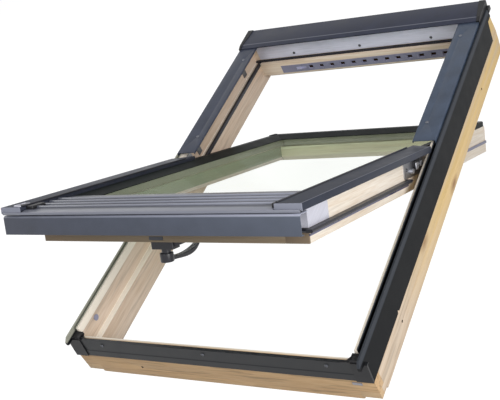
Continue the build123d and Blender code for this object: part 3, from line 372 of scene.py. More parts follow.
def pine_finish(name, settings, grain, turn=0.0, tone=(1.0, 1.0, 1.0), contrast=0.35, knots=0.85,
                honey=0.0, streaks=0.9):
    """Planed pine: growth rings and fibres along the grain, a few knots, a satin lacquer."""
    material, tree, shader = fresh_material(name)
    rotation = (turn, 0.0, 0.0)
    fibre_points = surface_points(tree, rotation, along_grain(grain, FIBRE_STRETCH))
    broad_points = surface_points(tree, rotation, along_grain(grain, BROAD_STRETCH))
    knot_points = surface_points(tree, rotation, along_grain(grain, KNOT_STRETCH, KNOT_WIDENING))
    rings = grain_noise(tree, fibre_points, scale=62.0, detail=3.0, roughness=0.55, distortion=0.8)
    lines = grain_noise(tree, fibre_points, scale=150.0, detail=3.0, roughness=0.65, distortion=0.4)
    fibres = grain_noise(tree, fibre_points, scale=430.0, roughness=0.6)
    tones = grain_noise(tree, broad_points, scale=7.0, detail=1.0)
    early, late = toned(settings.early_wood, tone), toned(settings.late_wood, tone)
    middle = tuple((a + b) / 2 for a, b in zip(early, late))
    wood = colour_steps(tree, rings, RING_STOPS, (late, middle, early))
    wood = mix_colours(tree, contrast, wood, colour_steps(tree, fibres, FIBRE_STOPS, (late, early)))
    wood = darken(tree, wood, spread_greys(tree, tones, BOARD_SHARE, 1.0))
    wood = darken(tree, wood, grey_steps(tree, lines, LINE_STOPS, (streaks, 1.0)))
    if honey:
        slope = ramp_between(tree, place_axes(tree)[1], *HONEY_ALONG)
        streams = grain_noise(tree, fibre_points, scale=34.0)
        gold = grey_steps(tree, streams, GOLD_STOPS, (GOLD_SHARE * honey, honey))
        wood = mix_colours(tree, cross_masks(tree, slope, gold), wood, settings.honey_wood)
    cells = new_node(tree, "TexVoronoi", {"Vector": knot_points, "Scale": KNOT_SCALE})
    rough = number_mix(tree, "MULTIPLY", grain_noise(tree, broad_points, scale=90.0), KNOT_RAGGEDNESS)
    ragged = number_mix(tree, "ADD", cells.outputs["Distance"], rough)
    knot = grey_steps(tree, ragged, KNOT_STOPS, (knots, knots * KNOT_RIM_SHARE, 0.0))
    wood = mix_colours(tree, knot, wood, settings.knot_wood)
    set_inputs(tree, shader, {"Base Color": wood, "Specular IOR Level": 0.3,
                              "Roughness": spread_greys(tree, fibres, *LACQUER_ROUGHNESS)})
    raise_bumps(tree, shader, fibres, strength=0.25, distance=0.0004)
    return material


# The painted shade round a hole is wider than the hole by this share
HOLE_RIM_SHARE = 1.15


def painted_hole_shade(material, first, second, place, radius, colour, where=None):
    """Paints shade into the inside and the rim of a small hole."""
    tree = material.node_tree
    squares = []
    for value, middle in zip((first, second), place):
        away = number_mix(tree, "SUBTRACT", value, middle)
        squares.append(number_mix(tree, "MULTIPLY", away, away))
    reach = number_mix(tree, "ADD", *squares)
    spot = ramp_between(tree, reach, (radius * HOLE_RIM_SHARE) ** 2, radius ** 2)
    paint_over(material, cross_masks(tree, spot, where) if where else spot, colour)


def coat_finish(name, colour, roughness, shine, mottle=0.16, grit=900.0):
    """Powder coat or plastic: a fine pebbled skin, slightly uneven in tone and gloss."""
    material, tree, shader = fresh_material(name)
    points = surface_points(tree)
    clouds = grain_noise(tree, points, scale=26.0, detail=3.0, roughness=0.6)
    pebble = grain_noise(tree, points, scale=grit)
    coat = spread_colours(tree, clouds, shaded(colour, 1 - mottle), shaded(colour, 1 + mottle))
    coat = darken(tree, coat, grey_steps(tree, pebble, PEBBLE_STOPS, (PEBBLE_SHARE, 1.0)))
    gloss = spread_greys(tree, clouds, roughness - COAT_SMOOTHER, roughness + COAT_ROUGHER)
    set_inputs(tree, shader, {"Base Color": coat, "Roughness": gloss, "Specular IOR Level": shine})
    raise_bumps(tree, shader, pebble, strength=0.18, distance=0.00015)
    return material


def brushed_finish(name, colour, roughness, along, metal):
    """Bare metal with drawn lines along one direction."""
    material, tree, shader = fresh_material(name)
    stretch = tuple(DRAWN_STRETCH if axis == along else 1.0 for axis in "XYZ")
    lines = grain_noise(tree, surface_points(tree, stretch=stretch), scale=900.0, roughness=0.6)
    clouds = grain_noise(tree, surface_points(tree), scale=18.0)
    bare = spread_colours(tree, lines, *(shaded(colour, share) for share in DRAWN_SHARES))
    bare = darken(tree, bare, spread_greys(tree, clouds, CLOUD_SHARE, 1.0))
    gloss = spread_greys(tree, lines, roughness - DRAWN_SMOOTHER, roughness + DRAWN_ROUGHER)
    set_inputs(tree, shader, {"Base Color": bare, "Roughness": gloss, "Metallic": metal})
    raise_bumps(tree, shader, lines, strength=0.12, distance=0.0001)
    return material


# Glass: weakest share of its tint, shares of light that it mirrors, and the mirror's roughness
TINT_SHARE, MIRRORED_SHARES, MIRROR_ROUGHNESS = 0.995, (0.015, 0.03), 0.03


def pane_finish(name, settings):
    """Clear float glass with a green body; lamps and soft light pass it tinted."""
    material, tree, shader = fresh_material(name)
    tree.nodes.remove(shader)
    output = next(n for n in tree.nodes if n.type == "OUTPUT_MATERIAL")
    film = grain_noise(tree, surface_points(tree), scale=9.0)
    tint = spread_colours(tree, film, shaded(settings.sight_tint, TINT_SHARE), settings.sight_tint)
    bend = new_node(tree, "BsdfRefraction", {"Color": tint, "IOR": settings.bending})
    mirror = new_node(tree, "BsdfAnisotropic", {"Roughness": MIRROR_ROUGHNESS})
    both = new_node(tree, "MixShader", {"Fac": spread_greys(tree, film, *MIRRORED_SHARES),
                                        1: bend.outputs["BSDF"], 2: mirror.outputs["BSDF"]})
    through = new_node(tree, "BsdfTransparent", {"Color": settings.light_tint})
    rays = tree.nodes.new("ShaderNodeLightPath")
    soft = number_mix(tree, "MAXIMUM", rays.outputs["Is Shadow Ray"], rays.outputs["Is Diffuse Ray"])
    chosen = new_node(tree, "MixShader", {"Fac": soft, 1: both.outputs["Shader"],
                                          2: through.outputs["BSDF"]})
    set_inputs(tree, output, {"Surface": chosen.outputs["Shader"]})
    return material


def put_on(material, *nodes):
    """Gives CAD nodes one material."""
    for name in nodes:
        mesh = frame["nodes"][name].data
        mesh.materials.clear()
        mesh.materials.append(material)


def body_of_node(node):
    bodies = frame["record"]["behaviour"]["bodies"]
    return next(body for body, members in bodies.items() if node in members)


def finish_piece(name, work, body, material, sharp=PIECE_SHARP):
    """Turns a bmesh into a shown piece that rides on a body."""
    mesh = bpy.data.meshes.new(name)
    work.to_mesh(mesh)
    work.free()
    mesh.polygons.foreach_set("use_smooth", [True] * len(mesh.polygons))
    mesh.set_sharp_from_angle(angle=math.radians(sharp))
    mesh.materials.append(material)
    piece = bpy.data.objects.new(name, mesh)
    bpy.context.scene.collection.objects.link(piece)
    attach(piece, body)
    return piece


def replace_node(node, suffix, work, material, sharp=PIECE_SHARP):
    """Shows a bmesh in place of a CAD node, on its body and in its slot."""
    piece = finish_piece(node + suffix, work, body_of_node(node), material, sharp)
    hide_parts(node)


def welded_copy(node):
    """The mesh of a CAD node with its loose triangles joined."""
    work = bmesh.new()
    work.from_mesh(frame["nodes"][node].data)
    bmesh.ops.remove_doubles(work, verts=work.verts, dist=WELD)
    return work


def sharp_edges(work, angle):
    """Edges whose two faces meet at more than an angle in degrees."""
    limit = math.radians(angle)
    return [e for e in work.edges if len(e.link_faces) == 2 and e.calc_face_angle() > limit]


def round_edges(work, edges, width, segments):
    bmesh.ops.bevel(work, geom=edges, offset=width, offset_type="OFFSET", segments=segments, profile=0.5,
                    affect="EDGES", clamp_overlap=True, material=-1)


def soften_node(node, width, material):
    """A copy of a CAD node with rounded edges, which stands for it."""
    work = welded_copy(node)
    bmesh.ops.dissolve_limit(work, angle_limit=math.radians(FLAT_ANGLE), verts=work.verts,
                             edges=work.edges)
    round_edges(work, sharp_edges(work, SOFTENED_ANGLE), width, segments=2)
    bmesh.ops.triangulate(work, faces=[f for f in work.faces if len(f.verts) > 4])
    replace_node(node, "_finished", work, material, NODE_SHARP)


def rounded_block(work, low, high, rounding, body):
    """A block with rounded edges, placed in a body at rest."""
    made = bmesh.ops.create_cube(work, size=1.0)["verts"]
    low, high = Vector(low), Vector(high)
    bmesh.ops.scale(work, vec=high - low, verts=made)
    bmesh.ops.translate(work, vec=(low + high) / 2, verts=made)
    bmesh.ops.transform(work, matrix=body, verts=made)
    round_edges(work, list({edge for vert in made for edge in vert.link_edges}), rounding, segments=3)


def rod_between(work, start, end, radius, body, segments=20):
    """A round rod between two places in a body at rest."""
    start, end = Vector(start), Vector(end)
    turn = (end - start).to_track_quat("Z", "Y").to_matrix().to_4x4()
    bmesh.ops.create_cone(work, cap_ends=True, segments=segments, radius1=radius, radius2=radius,
                          depth=(end - start).length,
                          matrix=body @ Matrix.Translation((start + end) / 2) @ turn)


def on_side(sign, place):
    """A place on the right, or its mirror image on the left."""
    return (sign * place[0], place[1], place[2])


def solids_of(node):
    """Lowest and highest corner of each loose solid of a CAD node."""
    work = welded_copy(node)
    waiting = set(work.verts)
    boxes = []
    while waiting:
        island, edge = set(), [waiting.pop()]
        while edge:
            vert = edge.pop()
            island.add(vert)
            for other in (e.other_vert(vert) for e in vert.link_edges):
                if other in waiting:
                    waiting.discard(other)
                    edge.append(other)
        low = Vector([min(v.co[i] for v in island) for i in range(3)])
        high = Vector([max(v.co[i] for v in island) for i in range(3)])
        boxes.append((low, high))
    work.free()
    return sorted(boxes, key=lambda box: tuple(box[0]))


# Timber masks: the ends of a ramp from nothing to full, or the edges of a band
# The lip and the ledge get a painted highlight where they face the light
FRAME_LIP_LEVEL = (0.0999, 0.1011)
LEDGE_LEVEL, LEDGE_SIDE = (0.0590, 0.0611), (0.3075, 0.3065)
EDGE_LIGHT_SHARE = 0.86
# Painted shade in the groove behind the ventilator slots
VENT_GROOVE_ALONG, VENT_GROOVE_LEVEL, GROOVE_SOFT = (0.9404, 0.9474), (0.0258, 0.0482), 0.0002
SILL_ALONG, SILL_SIDE = (0.010, 0.014), (0.3060, 0.3050)
JAMB_FOOT_ALONG, JAMB_OUTER_SIDE = (0.0125, 0.0115), (0.3120, 0.3130)
# Stiles: painted shade on the inner faces under the glass, and on the front ends under the apron
STILE_INNER_SIDE, STILE_FOOT_ALONG = (0.2436, 0.2426), (0.0335, 0.0325)
# Pilot holes: across and level on the rail, along and level on the jambs
RAIL_PILOT = (-0.180, 0.028)
JAMB_PILOTS = ((0.149, 0.030), (0.800, 0.030))
PILOT_RADIUS = 0.0026


class SKYLIGHT_OT_timber(bpy.types.Operator):
    """Finish the pine of the frame and of the sash"""

    bl_idname = "skylight.timber"
    bl_label = "Timber"

    def execute(self, context):
        settings = context.scene.skylight_timber
        finishes = {**self.frame_finishes(settings), **self.sash_finishes(settings)}
        for node, finish in finishes.items():
            soften_node(node, settings.edge_round, finish)
        return {"FINISHED"}

    def frame_finishes(self, settings):
        left = pine_finish("left_jamb_pine", settings, "Y", tone=(0.94, 0.91, 0.96), contrast=0.45,
                           knots=0.2, streaks=0.82)
        right = pine_finish("right_jamb_pine", settings, "Y", tone=(0.92, 0.90, 0.90), honey=1.0,
                            streaks=0.78)
        head = pine_finish("head_pine", settings, "X", tone=(1.12, 1.15, 1.24), knots=0.2)
        sill = pine_finish("sill_pine", settings, "X", tone=(0.88, 0.72, 0.52), contrast=0.7,
                           streaks=0.62)
        for timber in (left, right, sill):
            self.painted_edge_highlights(timber, settings)
        tree = head.node_tree
        _, along, level = place_axes(tree)
        # Painted shade in the vent groove behind the slots
        groove_shade = cross_masks(tree, band(tree, along, *VENT_GROOVE_ALONG, GROOVE_SOFT),
                             band(tree, level, *VENT_GROOVE_LEVEL, GROOVE_SOFT))
        paint_over(head, groove_shade, shaded(settings.knot_wood, 0.2))
        # Painted shade in the pilot holes of the rail and the jambs
        shadow = shaded(settings.knot_wood, 0.1)
        tree = sill.node_tree
        side, along, level = place_axes(tree)
        # Painted highlight along the top of the sill, which faces the light
        paint_over(sill, two_ramps(tree, along, SILL_ALONG, side, SILL_SIDE), settings.painted_edge_light)
        painted_hole_shade(sill, sash_axes(tree)[0], level, RAIL_PILOT, PILOT_RADIUS, shadow)
        for jamb in (left, right):
            tree = jamb.node_tree
            side, along, level = place_axes(tree)
            paint_over(jamb, ramp_between(tree, along, *JAMB_FOOT_ALONG),
                       toned(settings.late_wood, (0.9, 0.85, 0.75)))
            for place in JAMB_PILOTS:
                painted_hole_shade(jamb, along, level, place, PILOT_RADIUS, shadow,
                          ramp_between(tree, side, *JAMB_OUTER_SIDE))
        return {"left_jamb": left, "right_jamb": right, "bottom_rail": sill, "top_rail": head}

    def sash_finishes(self, settings):
        stiles = pine_finish("sash_pine_stiles", settings, "Y", SASH_TURN, tone=(1.14, 1.24, 1.40),
                             contrast=0.45, knots=0.0)
        # The bottom rail of the sash is toned dark: painted shade under the apron
        front = pine_finish("sash_pine_front", settings, "X", SASH_TURN, tone=(0.34, 0.32, 0.28),
                            knots=0.3)
        back = pine_finish("sash_pine_back", settings, "X", SASH_TURN, tone=(1.19, 1.34, 1.34),
                           knots=0.0)
        tree = stiles.node_tree
        across, along, _ = sash_axes(tree)
        side = number_mix(tree, "ABSOLUTE", across, 0.0)
        # Painted shade and green glass tint on the inner faces of the stiles, under the panes
        paint_over(stiles, ramp_between(tree, side, *STILE_INNER_SIDE), settings.glass_shaded_wood)
        # Painted shade on the front ends of the stiles, under the apron
        paint_over(stiles, ramp_between(tree, along, *STILE_FOOT_ALONG), shaded(settings.late_wood, 0.34))
        return {"sash_left_stile": stiles, "sash_right_stile": stiles, "sash_bottom_rail": front,
                "sash_top_rail": back}

    def painted_edge_highlights(self, material, settings):
        """Painted highlight along the lip at the top of the frame, and along the ledge that carries the
        gasket.
        """
        tree = material.node_tree
        side, _, level = place_axes(tree)
        lip = ramp_between(tree, level, *FRAME_LIP_LEVEL)
        ledge = cross_masks(tree, band(tree, level, *LEDGE_LEVEL, SOFT_EDGE),
                            ramp_between(tree, side, *LEDGE_SIDE))
        either = number_mix(tree, "MAXIMUM", lip, ledge)
        paint_over(material, number_mix(tree, "MULTIPLY", either, EDGE_LIGHT_SHARE), settings.painted_edge_light)


# Cover masks: the ends of a ramp from nothing to full, or the edges of a band
# Apron: a painted reflection growing to the right, and a painted highlight along its bend
APRON_ACROSS, APRON_SHARE = (-0.35, 0.33), 0.7
APRON_BEND_OUT, APRON_BEND_ACROSS = (0.1005, 0.1030), (-0.50, 0.38)
HOOD_CREASE_ALONG = (0.9372, 0.9388)
# Lower covers: painted highlight along the fold and a painted reflection on the front tip
COVER_FOLD_SIDE, COVER_TIP_ALONG = (0.3150, 0.3166), (-0.0362, -0.0370)
# Ribs: painted highlight on the crests and at the front ends
RIB_CREST_OUT, RIB_ACROSS, RIB_FRONT_ALONG = (0.1148, 0.1176), (-0.40, 0.40), (-0.0235, -0.0265)


class SKYLIGHT_OT_covers(bpy.types.Operator):
    """Coat the covers, the hood, the apron and the ribbed profile"""

    bl_idname = "skylight.covers"
    bl_label = "Slate Covers"

    def execute(self, context):
        settings = context.scene.skylight_sheet
        slate = settings.slate
        # Lit and shaded copies of one slate coat: painted light on the right cover, painted shade on the
        # left
        right = coat_finish("right_cover_coat", toned(slate, (1.0, 1.22, 1.42)), roughness=0.40, shine=0.30)
        left = coat_finish("left_cover_coat", toned(slate, (0.85, 0.90, 1.02)), roughness=0.40, shine=0.30)
        hood = coat_finish("hood_coat", toned(slate, (0.52, 0.54, 0.68)), roughness=0.42, shine=0.24)
        tree = hood.node_tree
        # Painted highlight along the crease of the hood
        crease_highlight = band(tree, place_axes(tree)[1], *HOOD_CREASE_ALONG, SOFT_EDGE)
        paint_over(hood, crease_highlight, shaded(settings.painted_glint, 0.35))
        lower = self.lower_cover_finish(settings)
        for node, finish in (("left_upper_cover", left), ("right_upper_cover", right),
                             ("top_hood", hood), ("left_lower_cover", lower),
                             ("right_lower_cover", lower),
                             ("front_apron", self.apron_finish(settings)),
                             ("drip_profile", self.rib_finish(settings))):
            soften_node(node, settings.edge_round, finish)
        return {"FINISHED"}

    def apron_finish(self, settings):
        apron = coat_finish("apron_coat", toned(settings.slate, (1.02, 1.04, 1.14)), roughness=0.40,
                            shine=0.30)
        tree = apron.node_tree
        across, _, out = sash_axes(tree)
        # Painted reflection: the apron grows lighter towards the right
        rightward_sheen = ramp_between(tree, across, *APRON_ACROSS)
        paint_over(apron, number_mix(tree, "MULTIPLY", rightward_sheen, APRON_SHARE),
                   toned(settings.slate, (1.75, 1.85, 1.85)))
        # Painted highlight along the bend at the top of the apron
        bend = two_ramps(tree, out, APRON_BEND_OUT, across, APRON_BEND_ACROSS)
        paint_over(apron, bend, settings.painted_glint)
        return apron

    def lower_cover_finish(self, settings):
        lower = coat_finish("lower_cover_coat", toned(settings.slate, (0.62, 0.64, 0.70)), roughness=0.46,
                            shine=0.10)
        tree = lower.node_tree
        across, along, _ = sash_axes(tree)
        side = number_mix(tree, "ABSOLUTE", across, 0.0)
        # Painted highlight along the fold of the cover
        paint_over(lower, band(tree, side, *COVER_FOLD_SIDE, SOFT_EDGE), shaded(settings.painted_glint, 0.36))
        # Painted reflection on the bent front tip of the cover
        paint_over(lower, ramp_between(tree, along, *COVER_TIP_ALONG), shaded(settings.painted_glint, 0.62))
        return lower

    def rib_finish(self, settings):
        ribs = coat_finish("rib_coat", settings.ribs, roughness=0.34, shine=0.5, mottle=0.06)
        tree = ribs.node_tree
        across, along, out = sash_axes(tree)
        crest_highlight = two_ramps(tree, out, RIB_CREST_OUT, across, RIB_ACROSS)
        # Painted highlight on the rib crests
        paint_over(ribs, crest_highlight, settings.painted_glint)
        # Painted highlight at the front ends of the ribs
        paint_over(ribs, ramp_between(tree, along, *RIB_FRONT_ALONG), shaded(settings.painted_glint, 0.5))
        return ribs


# Side profile masks for the painted light: the ends of a ramp from nothing to full
CHANNEL_LEVEL, CHANNEL_SIDE = (0.0985, 0.1000), (0.3200, 0.3196)
RIDGE_LEVEL, RIDGE_SIDE = (0.1045, 0.1075), (0.3190, 0.3198)
FIN_LEVEL, FIN_SIDE = (0.1126, 0.1136), (0.3142, 0.3138)


class SKYLIGHT_OT_profiles(bpy.types.Operator):
    """Coat the black profiles, caps, clips and glass beads"""

    bl_idname = "skylight.profiles"
    bl_label = "Black Profiles"

    def execute(self, context):
        sheet = context.scene.skylight_sheet
        plastic = context.scene.skylight_fitting.plastic
        # Painted light on the ridges and fins of both side profiles, and in the left channel
        put_on(self.lit_ridge_finish("left_profile_coat", sheet, sheet.ridge_lit, sheet.ridge_lit),
               "left_side_profile")
        put_on(self.lit_ridge_finish("right_profile_coat", sheet, sheet.ridge, sheet.black),
               "right_side_profile")
        put_on(coat_finish("sill_profile_coat", shaded(sheet.black, 1.9), roughness=0.42, shine=0.30),
               "bottom_profile")
        put_on(coat_finish("black_plastic", plastic, roughness=0.46, shine=0.30, grit=1600.0),
               "left_corner_cap", "right_corner_cap", "left_hood_cap", "right_hood_cap",
               "apron_clips", "bead_corners")
        put_on(coat_finish("bead_coat", sheet.bead, roughness=0.5, shine=0.06),
               "left_glass_bead", "right_glass_bead", "top_glass_bead")
        put_on(brushed_finish("spacer_metal", sheet.spacer, roughness=0.5, along="X", metal=0.1),
               "pane_spacer")
        return {"FINISHED"}

    def lit_ridge_finish(self, name, settings, ridge, channel):
        """Black coat of a side profile, with painted light on its ridge, fin and channel."""
        material = coat_finish(name, settings.black, roughness=0.44, shine=0.07)
        tree = material.node_tree
        side, _, level = place_axes(tree)
        inside = two_ramps(tree, side, CHANNEL_SIDE, level, CHANNEL_LEVEL)
        outer = two_ramps(tree, side, RIDGE_SIDE, level, RIDGE_LEVEL)
        fin = two_ramps(tree, side, FIN_SIDE, level, FIN_LEVEL)
        paint_over(material, inside, channel)
        paint_over(material, number_mix(tree, "MAXIMUM", outer, fin), ridge)
        return material


class SKYLIGHT_OT_glass(bpy.types.Operator):
    """Make the two panes of the sealed unit clear and green"""

    bl_idname = "skylight.glass"
    bl_label = "Glass"

    def execute(self, context):
        clear = pane_finish("green_float_glass", context.scene.skylight_glass)
        put_on(clear, "outer_pane", "inner_pane")
        return {"FINISHED"}


class SKYLIGHT_OT_seals(bpy.types.Operator):
    """Finish the rubber seals and gaskets"""

    bl_idname = "skylight.seals"
    bl_label = "Seals"

    def execute(self, context):
        rubber = context.scene.skylight_fitting.rubber
        put_on(coat_finish("seal_rubber", rubber, roughness=0.38, shine=0.36, mottle=0.25, grit=1400.0),
               "frame_gasket", "sash_seal")
        # The thin seals are drawn lighter and bluer: painted highlight on the rubber
        put_on(coat_finish("thin_seal_rubber", toned(rubber, (6.0, 6.0, 7.0)), roughness=0.3, shine=0.5,
                           mottle=0.25, grit=1400.0), "thin_seals")
        return {"FINISHED"}


# Hub of the lever, in places of the closed sash, and the caps on the bushes
HUB_ENDS = ((-0.022, 0.057, -0.0010), (-0.022, 0.057, 0.0160))
HUB_RADIUS, HUB_ROUND, HUB_RIM_ANGLE = 0.0125, 0.0016, 60.0
BUSH_CAP_RADIUS, BUSH_CAP_RISE = 0.0066, 0.0008


class SKYLIGHT_OT_fittings(bpy.types.Operator):
    """Finish the strip, plates, hinges, ventilator and handle"""

    bl_idname = "skylight.fittings"
    bl_label = "Fittings"

    def execute(self, context):
        sheet = context.scene.skylight_sheet
        fitting = context.scene.skylight_fitting
        self.finish_metal(sheet.silver, fitting)
        handle = coat_finish("handle_coat", fitting.handle_coat, roughness=0.34, shine=0.4, mottle=0.12,
                             grit=1300.0)
        put_on(handle, "handle_base", "handle_lever")
        work = bmesh.new()
        rod_between(work, *HUB_ENDS, HUB_RADIUS, SASH_BODY, segments=36)
        round_edges(work, sharp_edges(work, HUB_RIM_ANGLE), HUB_ROUND, segments=3)
        finish_piece("lever_hub", work, "lever", handle)
        self.finish_vent(fitting.vent_grey)
        return {"FINISHED"}

    def finish_metal(self, silver, fitting):
        put_on(brushed_finish("head_strip_metal", toned(silver, (1.08, 1.10, 1.16)), roughness=0.42,
                              along="X", metal=0.25), "top_strip")
        put_on(brushed_finish("clip_metal", shaded(silver, 0.5), roughness=0.45, along="X", metal=0.3),
               "corner_clip")
        put_on(brushed_finish("corner_plate_metal", silver, roughness=0.42, along="Y", metal=0.35),
               "left_corner_plate", "right_corner_plate")
        put_on(brushed_finish("hinge_steel", fitting.steel, roughness=0.36, along="Y", metal=0.95),
               "left_hinge_plate", "right_hinge_plate", "left_hinge_arm", "right_hinge_arm", "striker")
        put_on(brushed_finish("bracket_steel", shaded(fitting.steel, 0.35), roughness=0.42, along="Y",
                              metal=0.8),
               "left_lower_bracket", "left_upper_bracket", "right_lower_bracket", "right_upper_bracket")
        put_on(coat_finish("latch_coat", fitting.screw_metal, roughness=0.5, shine=0.2), "latch_tongue")

    def finish_vent(self, grey):
        put_on(coat_finish("vent_plastic", grey, roughness=0.5, shine=0.35, mottle=0.08, grit=1500.0),
               "vent_bar")
        put_on(coat_finish("vent_slide_plastic", shaded(grey, 1.9), roughness=0.5, shine=0.35,
                           mottle=0.08, grit=1500.0), "vent_slider")
        put_on(coat_finish("bush_plastic", shaded(grey, 1.5), roughness=0.5, shine=0.35, mottle=0.08),
               "jamb_bushes")
        work = bmesh.new()
        for low, high in solids_of("jamb_bushes"):
            middle = (low + high) / 2
            face = math.copysign(1.0, middle.x)
            inner = min(abs(low.x), abs(high.x))
            rod_between(work, (face * inner, middle.y, middle.z),
                        (face * (inner - BUSH_CAP_RISE), middle.y, middle.z), BUSH_CAP_RADIUS, Matrix(),
                        segments=32)
        finish_piece("bush_caps", work, "frame",
                     coat_finish("bush_cap_plastic", shaded(grey, 1.2), roughness=0.5, shine=0.3,
                                 mottle=0.08))


# Trims, plugs and clip, in places of the closed sash. The clip has three thin walls
TRIM_ENDS, TRIM_RADIUS = ((0.2700, -0.030, 0.1212), (0.2700, 0.490, 0.1212)), 0.0021
RIB_PLUGS = (
    ((-0.2690, -0.022, 0.1125), (-0.2520, 0.012, 0.1205), 0.0016),
    ((0.2600, -0.030, 0.1125), (0.2690, -0.004, 0.1205), 0.0016),
    ((-0.2800, -0.030, 0.1206), (-0.2700, -0.008, 0.1232), 0.0008),
)
CLIP_LOW, CLIP_HIGH = Vector((-0.2870, -0.034, 0.1208)), Vector((-0.2700, -0.008, 0.1236))
CLIP_WALL, CLIP_ROUND = 0.0018, 0.0005


class SKYLIGHT_OT_trims(bpy.types.Operator):
    """Lay the rubber trims along the lower covers, with the plugs and clip at the ribs"""

    bl_idname = "skylight.trims"
    bl_label = "Cover Trims"

    def execute(self, context):
        fitting = context.scene.skylight_fitting
        silver = context.scene.skylight_sheet.silver
        rubber = coat_finish("trim_rubber", fitting.rubber, roughness=0.4, shine=0.3, mottle=0.2,
                             grit=1500.0)
        work = bmesh.new()
        for sign in (-1, 1):
            rod_between(work, *(on_side(sign, end) for end in TRIM_ENDS), TRIM_RADIUS, SASH_BODY)
        finish_piece("cover_trims", work, "sash", rubber)
        plastic = coat_finish("plug_plastic", fitting.plastic, roughness=0.4, shine=0.4, mottle=0.2,
                              grit=1500.0)
        work = bmesh.new()
        for low, high, rounding in RIB_PLUGS:
            rounded_block(work, low, high, rounding, SASH_BODY)
        finish_piece("rib_plugs", work, "sash", plastic)
        metal = brushed_finish("rib_clip_metal", silver, roughness=0.35, along="X", metal=0.6)
        work = bmesh.new()
        for low, high in ((CLIP_LOW, (CLIP_LOW.x + CLIP_WALL, CLIP_HIGH.y, CLIP_HIGH.z)),
                          (CLIP_LOW, (CLIP_HIGH.x, CLIP_LOW.y + CLIP_WALL, CLIP_HIGH.z)),
                          ((CLIP_LOW.x, CLIP_HIGH.y - CLIP_WALL, CLIP_LOW.z), CLIP_HIGH)):
            rounded_block(work, low, high, CLIP_ROUND, SASH_BODY)
        finish_piece("rib_clip", work, "sash", metal)
        return {"FINISHED"}


# Right hinge, in places of the closed sash: two places and a rounding, or a radius for a pin
HINGE_BLOCK = ((0.2884, 0.466, 0.0800), (0.2965, 0.498, 0.0985), 0.0022)
HINGE_PLATE = ((0.2960, 0.464, 0.0815), (0.2978, 0.478, 0.0950), 0.0008)
HINGE_PINS = (
    ((0.2960, 0.488, 0.0900), (0.2990, 0.488, 0.0900), 0.0062),
    ((0.2884, 0.456, 0.0800), (0.2950, 0.456, 0.0800), 0.0050),
)


class SKYLIGHT_OT_hinges(bpy.types.Operator):
    """Set the friction blocks and pins on the hinge arms"""

    bl_idname = "skylight.hinges"
    bl_label = "Hinge Blocks"

    def execute(self, context):
        fitting = context.scene.skylight_fitting
        plastic = coat_finish("hinge_plastic", shaded(fitting.plastic, 1.4), roughness=0.36, shine=0.45,
                              mottle=0.2, grit=1500.0)
        self.set_hinges("hinge_blocks", "black_plastic", plastic, HINGE_BLOCK)
        steel = brushed_finish("hinge_pin_steel", shaded(fitting.steel, 1.25), roughness=0.3, along="Y",
                               metal=0.8)
        self.set_hinges("hinge_pins", "steel", steel, HINGE_PLATE, HINGE_PINS)
        return {"FINISHED"}

    def set_hinges(self, name, slot, material, block, pins=()):
        """One block and its pins on each side of the sash."""
        low, high, rounding = block
        work = bmesh.new()
        for sign in (-1, 1):
            for start, end, radius in pins:
                rod_between(work, on_side(sign, start), on_side(sign, end), radius, SASH_BODY)
            rounded_block(work, on_side(sign, low), on_side(sign, high), rounding, SASH_BODY)
        bmesh.ops.recalc_face_normals(work, faces=work.faces)
        finish_piece(name, work, "sash", material)


# Half section of a screw head: shares of its radius and rise, first the head, then its socket
HEAD_SHARES = ((1.0, 0.0), (1.0, 0.35), (0.9, 0.72), (0.66, 0.96))
SOCKET_SHARES = ((1.15, 1.0), (1.0, 0.92), (0.7, 0.2), (0.0, 0.15))
SOCKET_SHARE, SOCKET_EDGE_SHARE = 0.42, 1.05
SCREW_STEPS, SCREW_WELD, SCREW_MIDDLE = 24, 1e-7, 1e-6
DRIVE_LOBES, LOBE_SHARE, LOBE_INSET_SHARE = 4, 0.3, 0.2


def screw_head(work, radius, rise, seat, outward):
    """One pan head with a four lobed drive, spun from its half section."""
    socket = radius * SOCKET_SHARE
    section = [(radius * across, rise * up) for across, up in HEAD_SHARES]
    section += [(socket * across, rise * up) for across, up in SOCKET_SHARES]
    before = set(work.verts)
    verts = [work.verts.new((r, 0.0, z)) for r, z in section]
    edges = [work.edges.new(pair) for pair in zip(verts, verts[1:])]
    bmesh.ops.spin(work, geom=verts + edges, cent=(0, 0, 0), axis=(0, 0, 1), dvec=(0, 0, 0),
                   angle=2 * math.pi, steps=SCREW_STEPS, use_merge=True)
    made = [v for v in work.verts if v not in before]
    bmesh.ops.remove_doubles(work, verts=made, dist=SCREW_WELD)
    made = [v for v in work.verts if v not in before]
    for vert in made:
        reach = math.hypot(vert.co.x, vert.co.y)
        if SCREW_MIDDLE < reach < socket * SOCKET_EDGE_SHARE:
            wave = math.cos(DRIVE_LOBES * math.atan2(vert.co.y, vert.co.x))
            lobe = 1 + LOBE_SHARE * wave - LOBE_INSET_SHARE
            vert.co.x *= lobe
            vert.co.y *= lobe
    rim = [e for e in work.edges if e.is_boundary and e.verts[0] in set(made)]
    bmesh.ops.holes_fill(work, edges=rim, sides=SCREW_STEPS)
    turn = outward.to_track_quat("Z", "Y").to_matrix().to_4x4()
    bmesh.ops.transform(work, matrix=Matrix.Translation(seat) @ turn, verts=made)


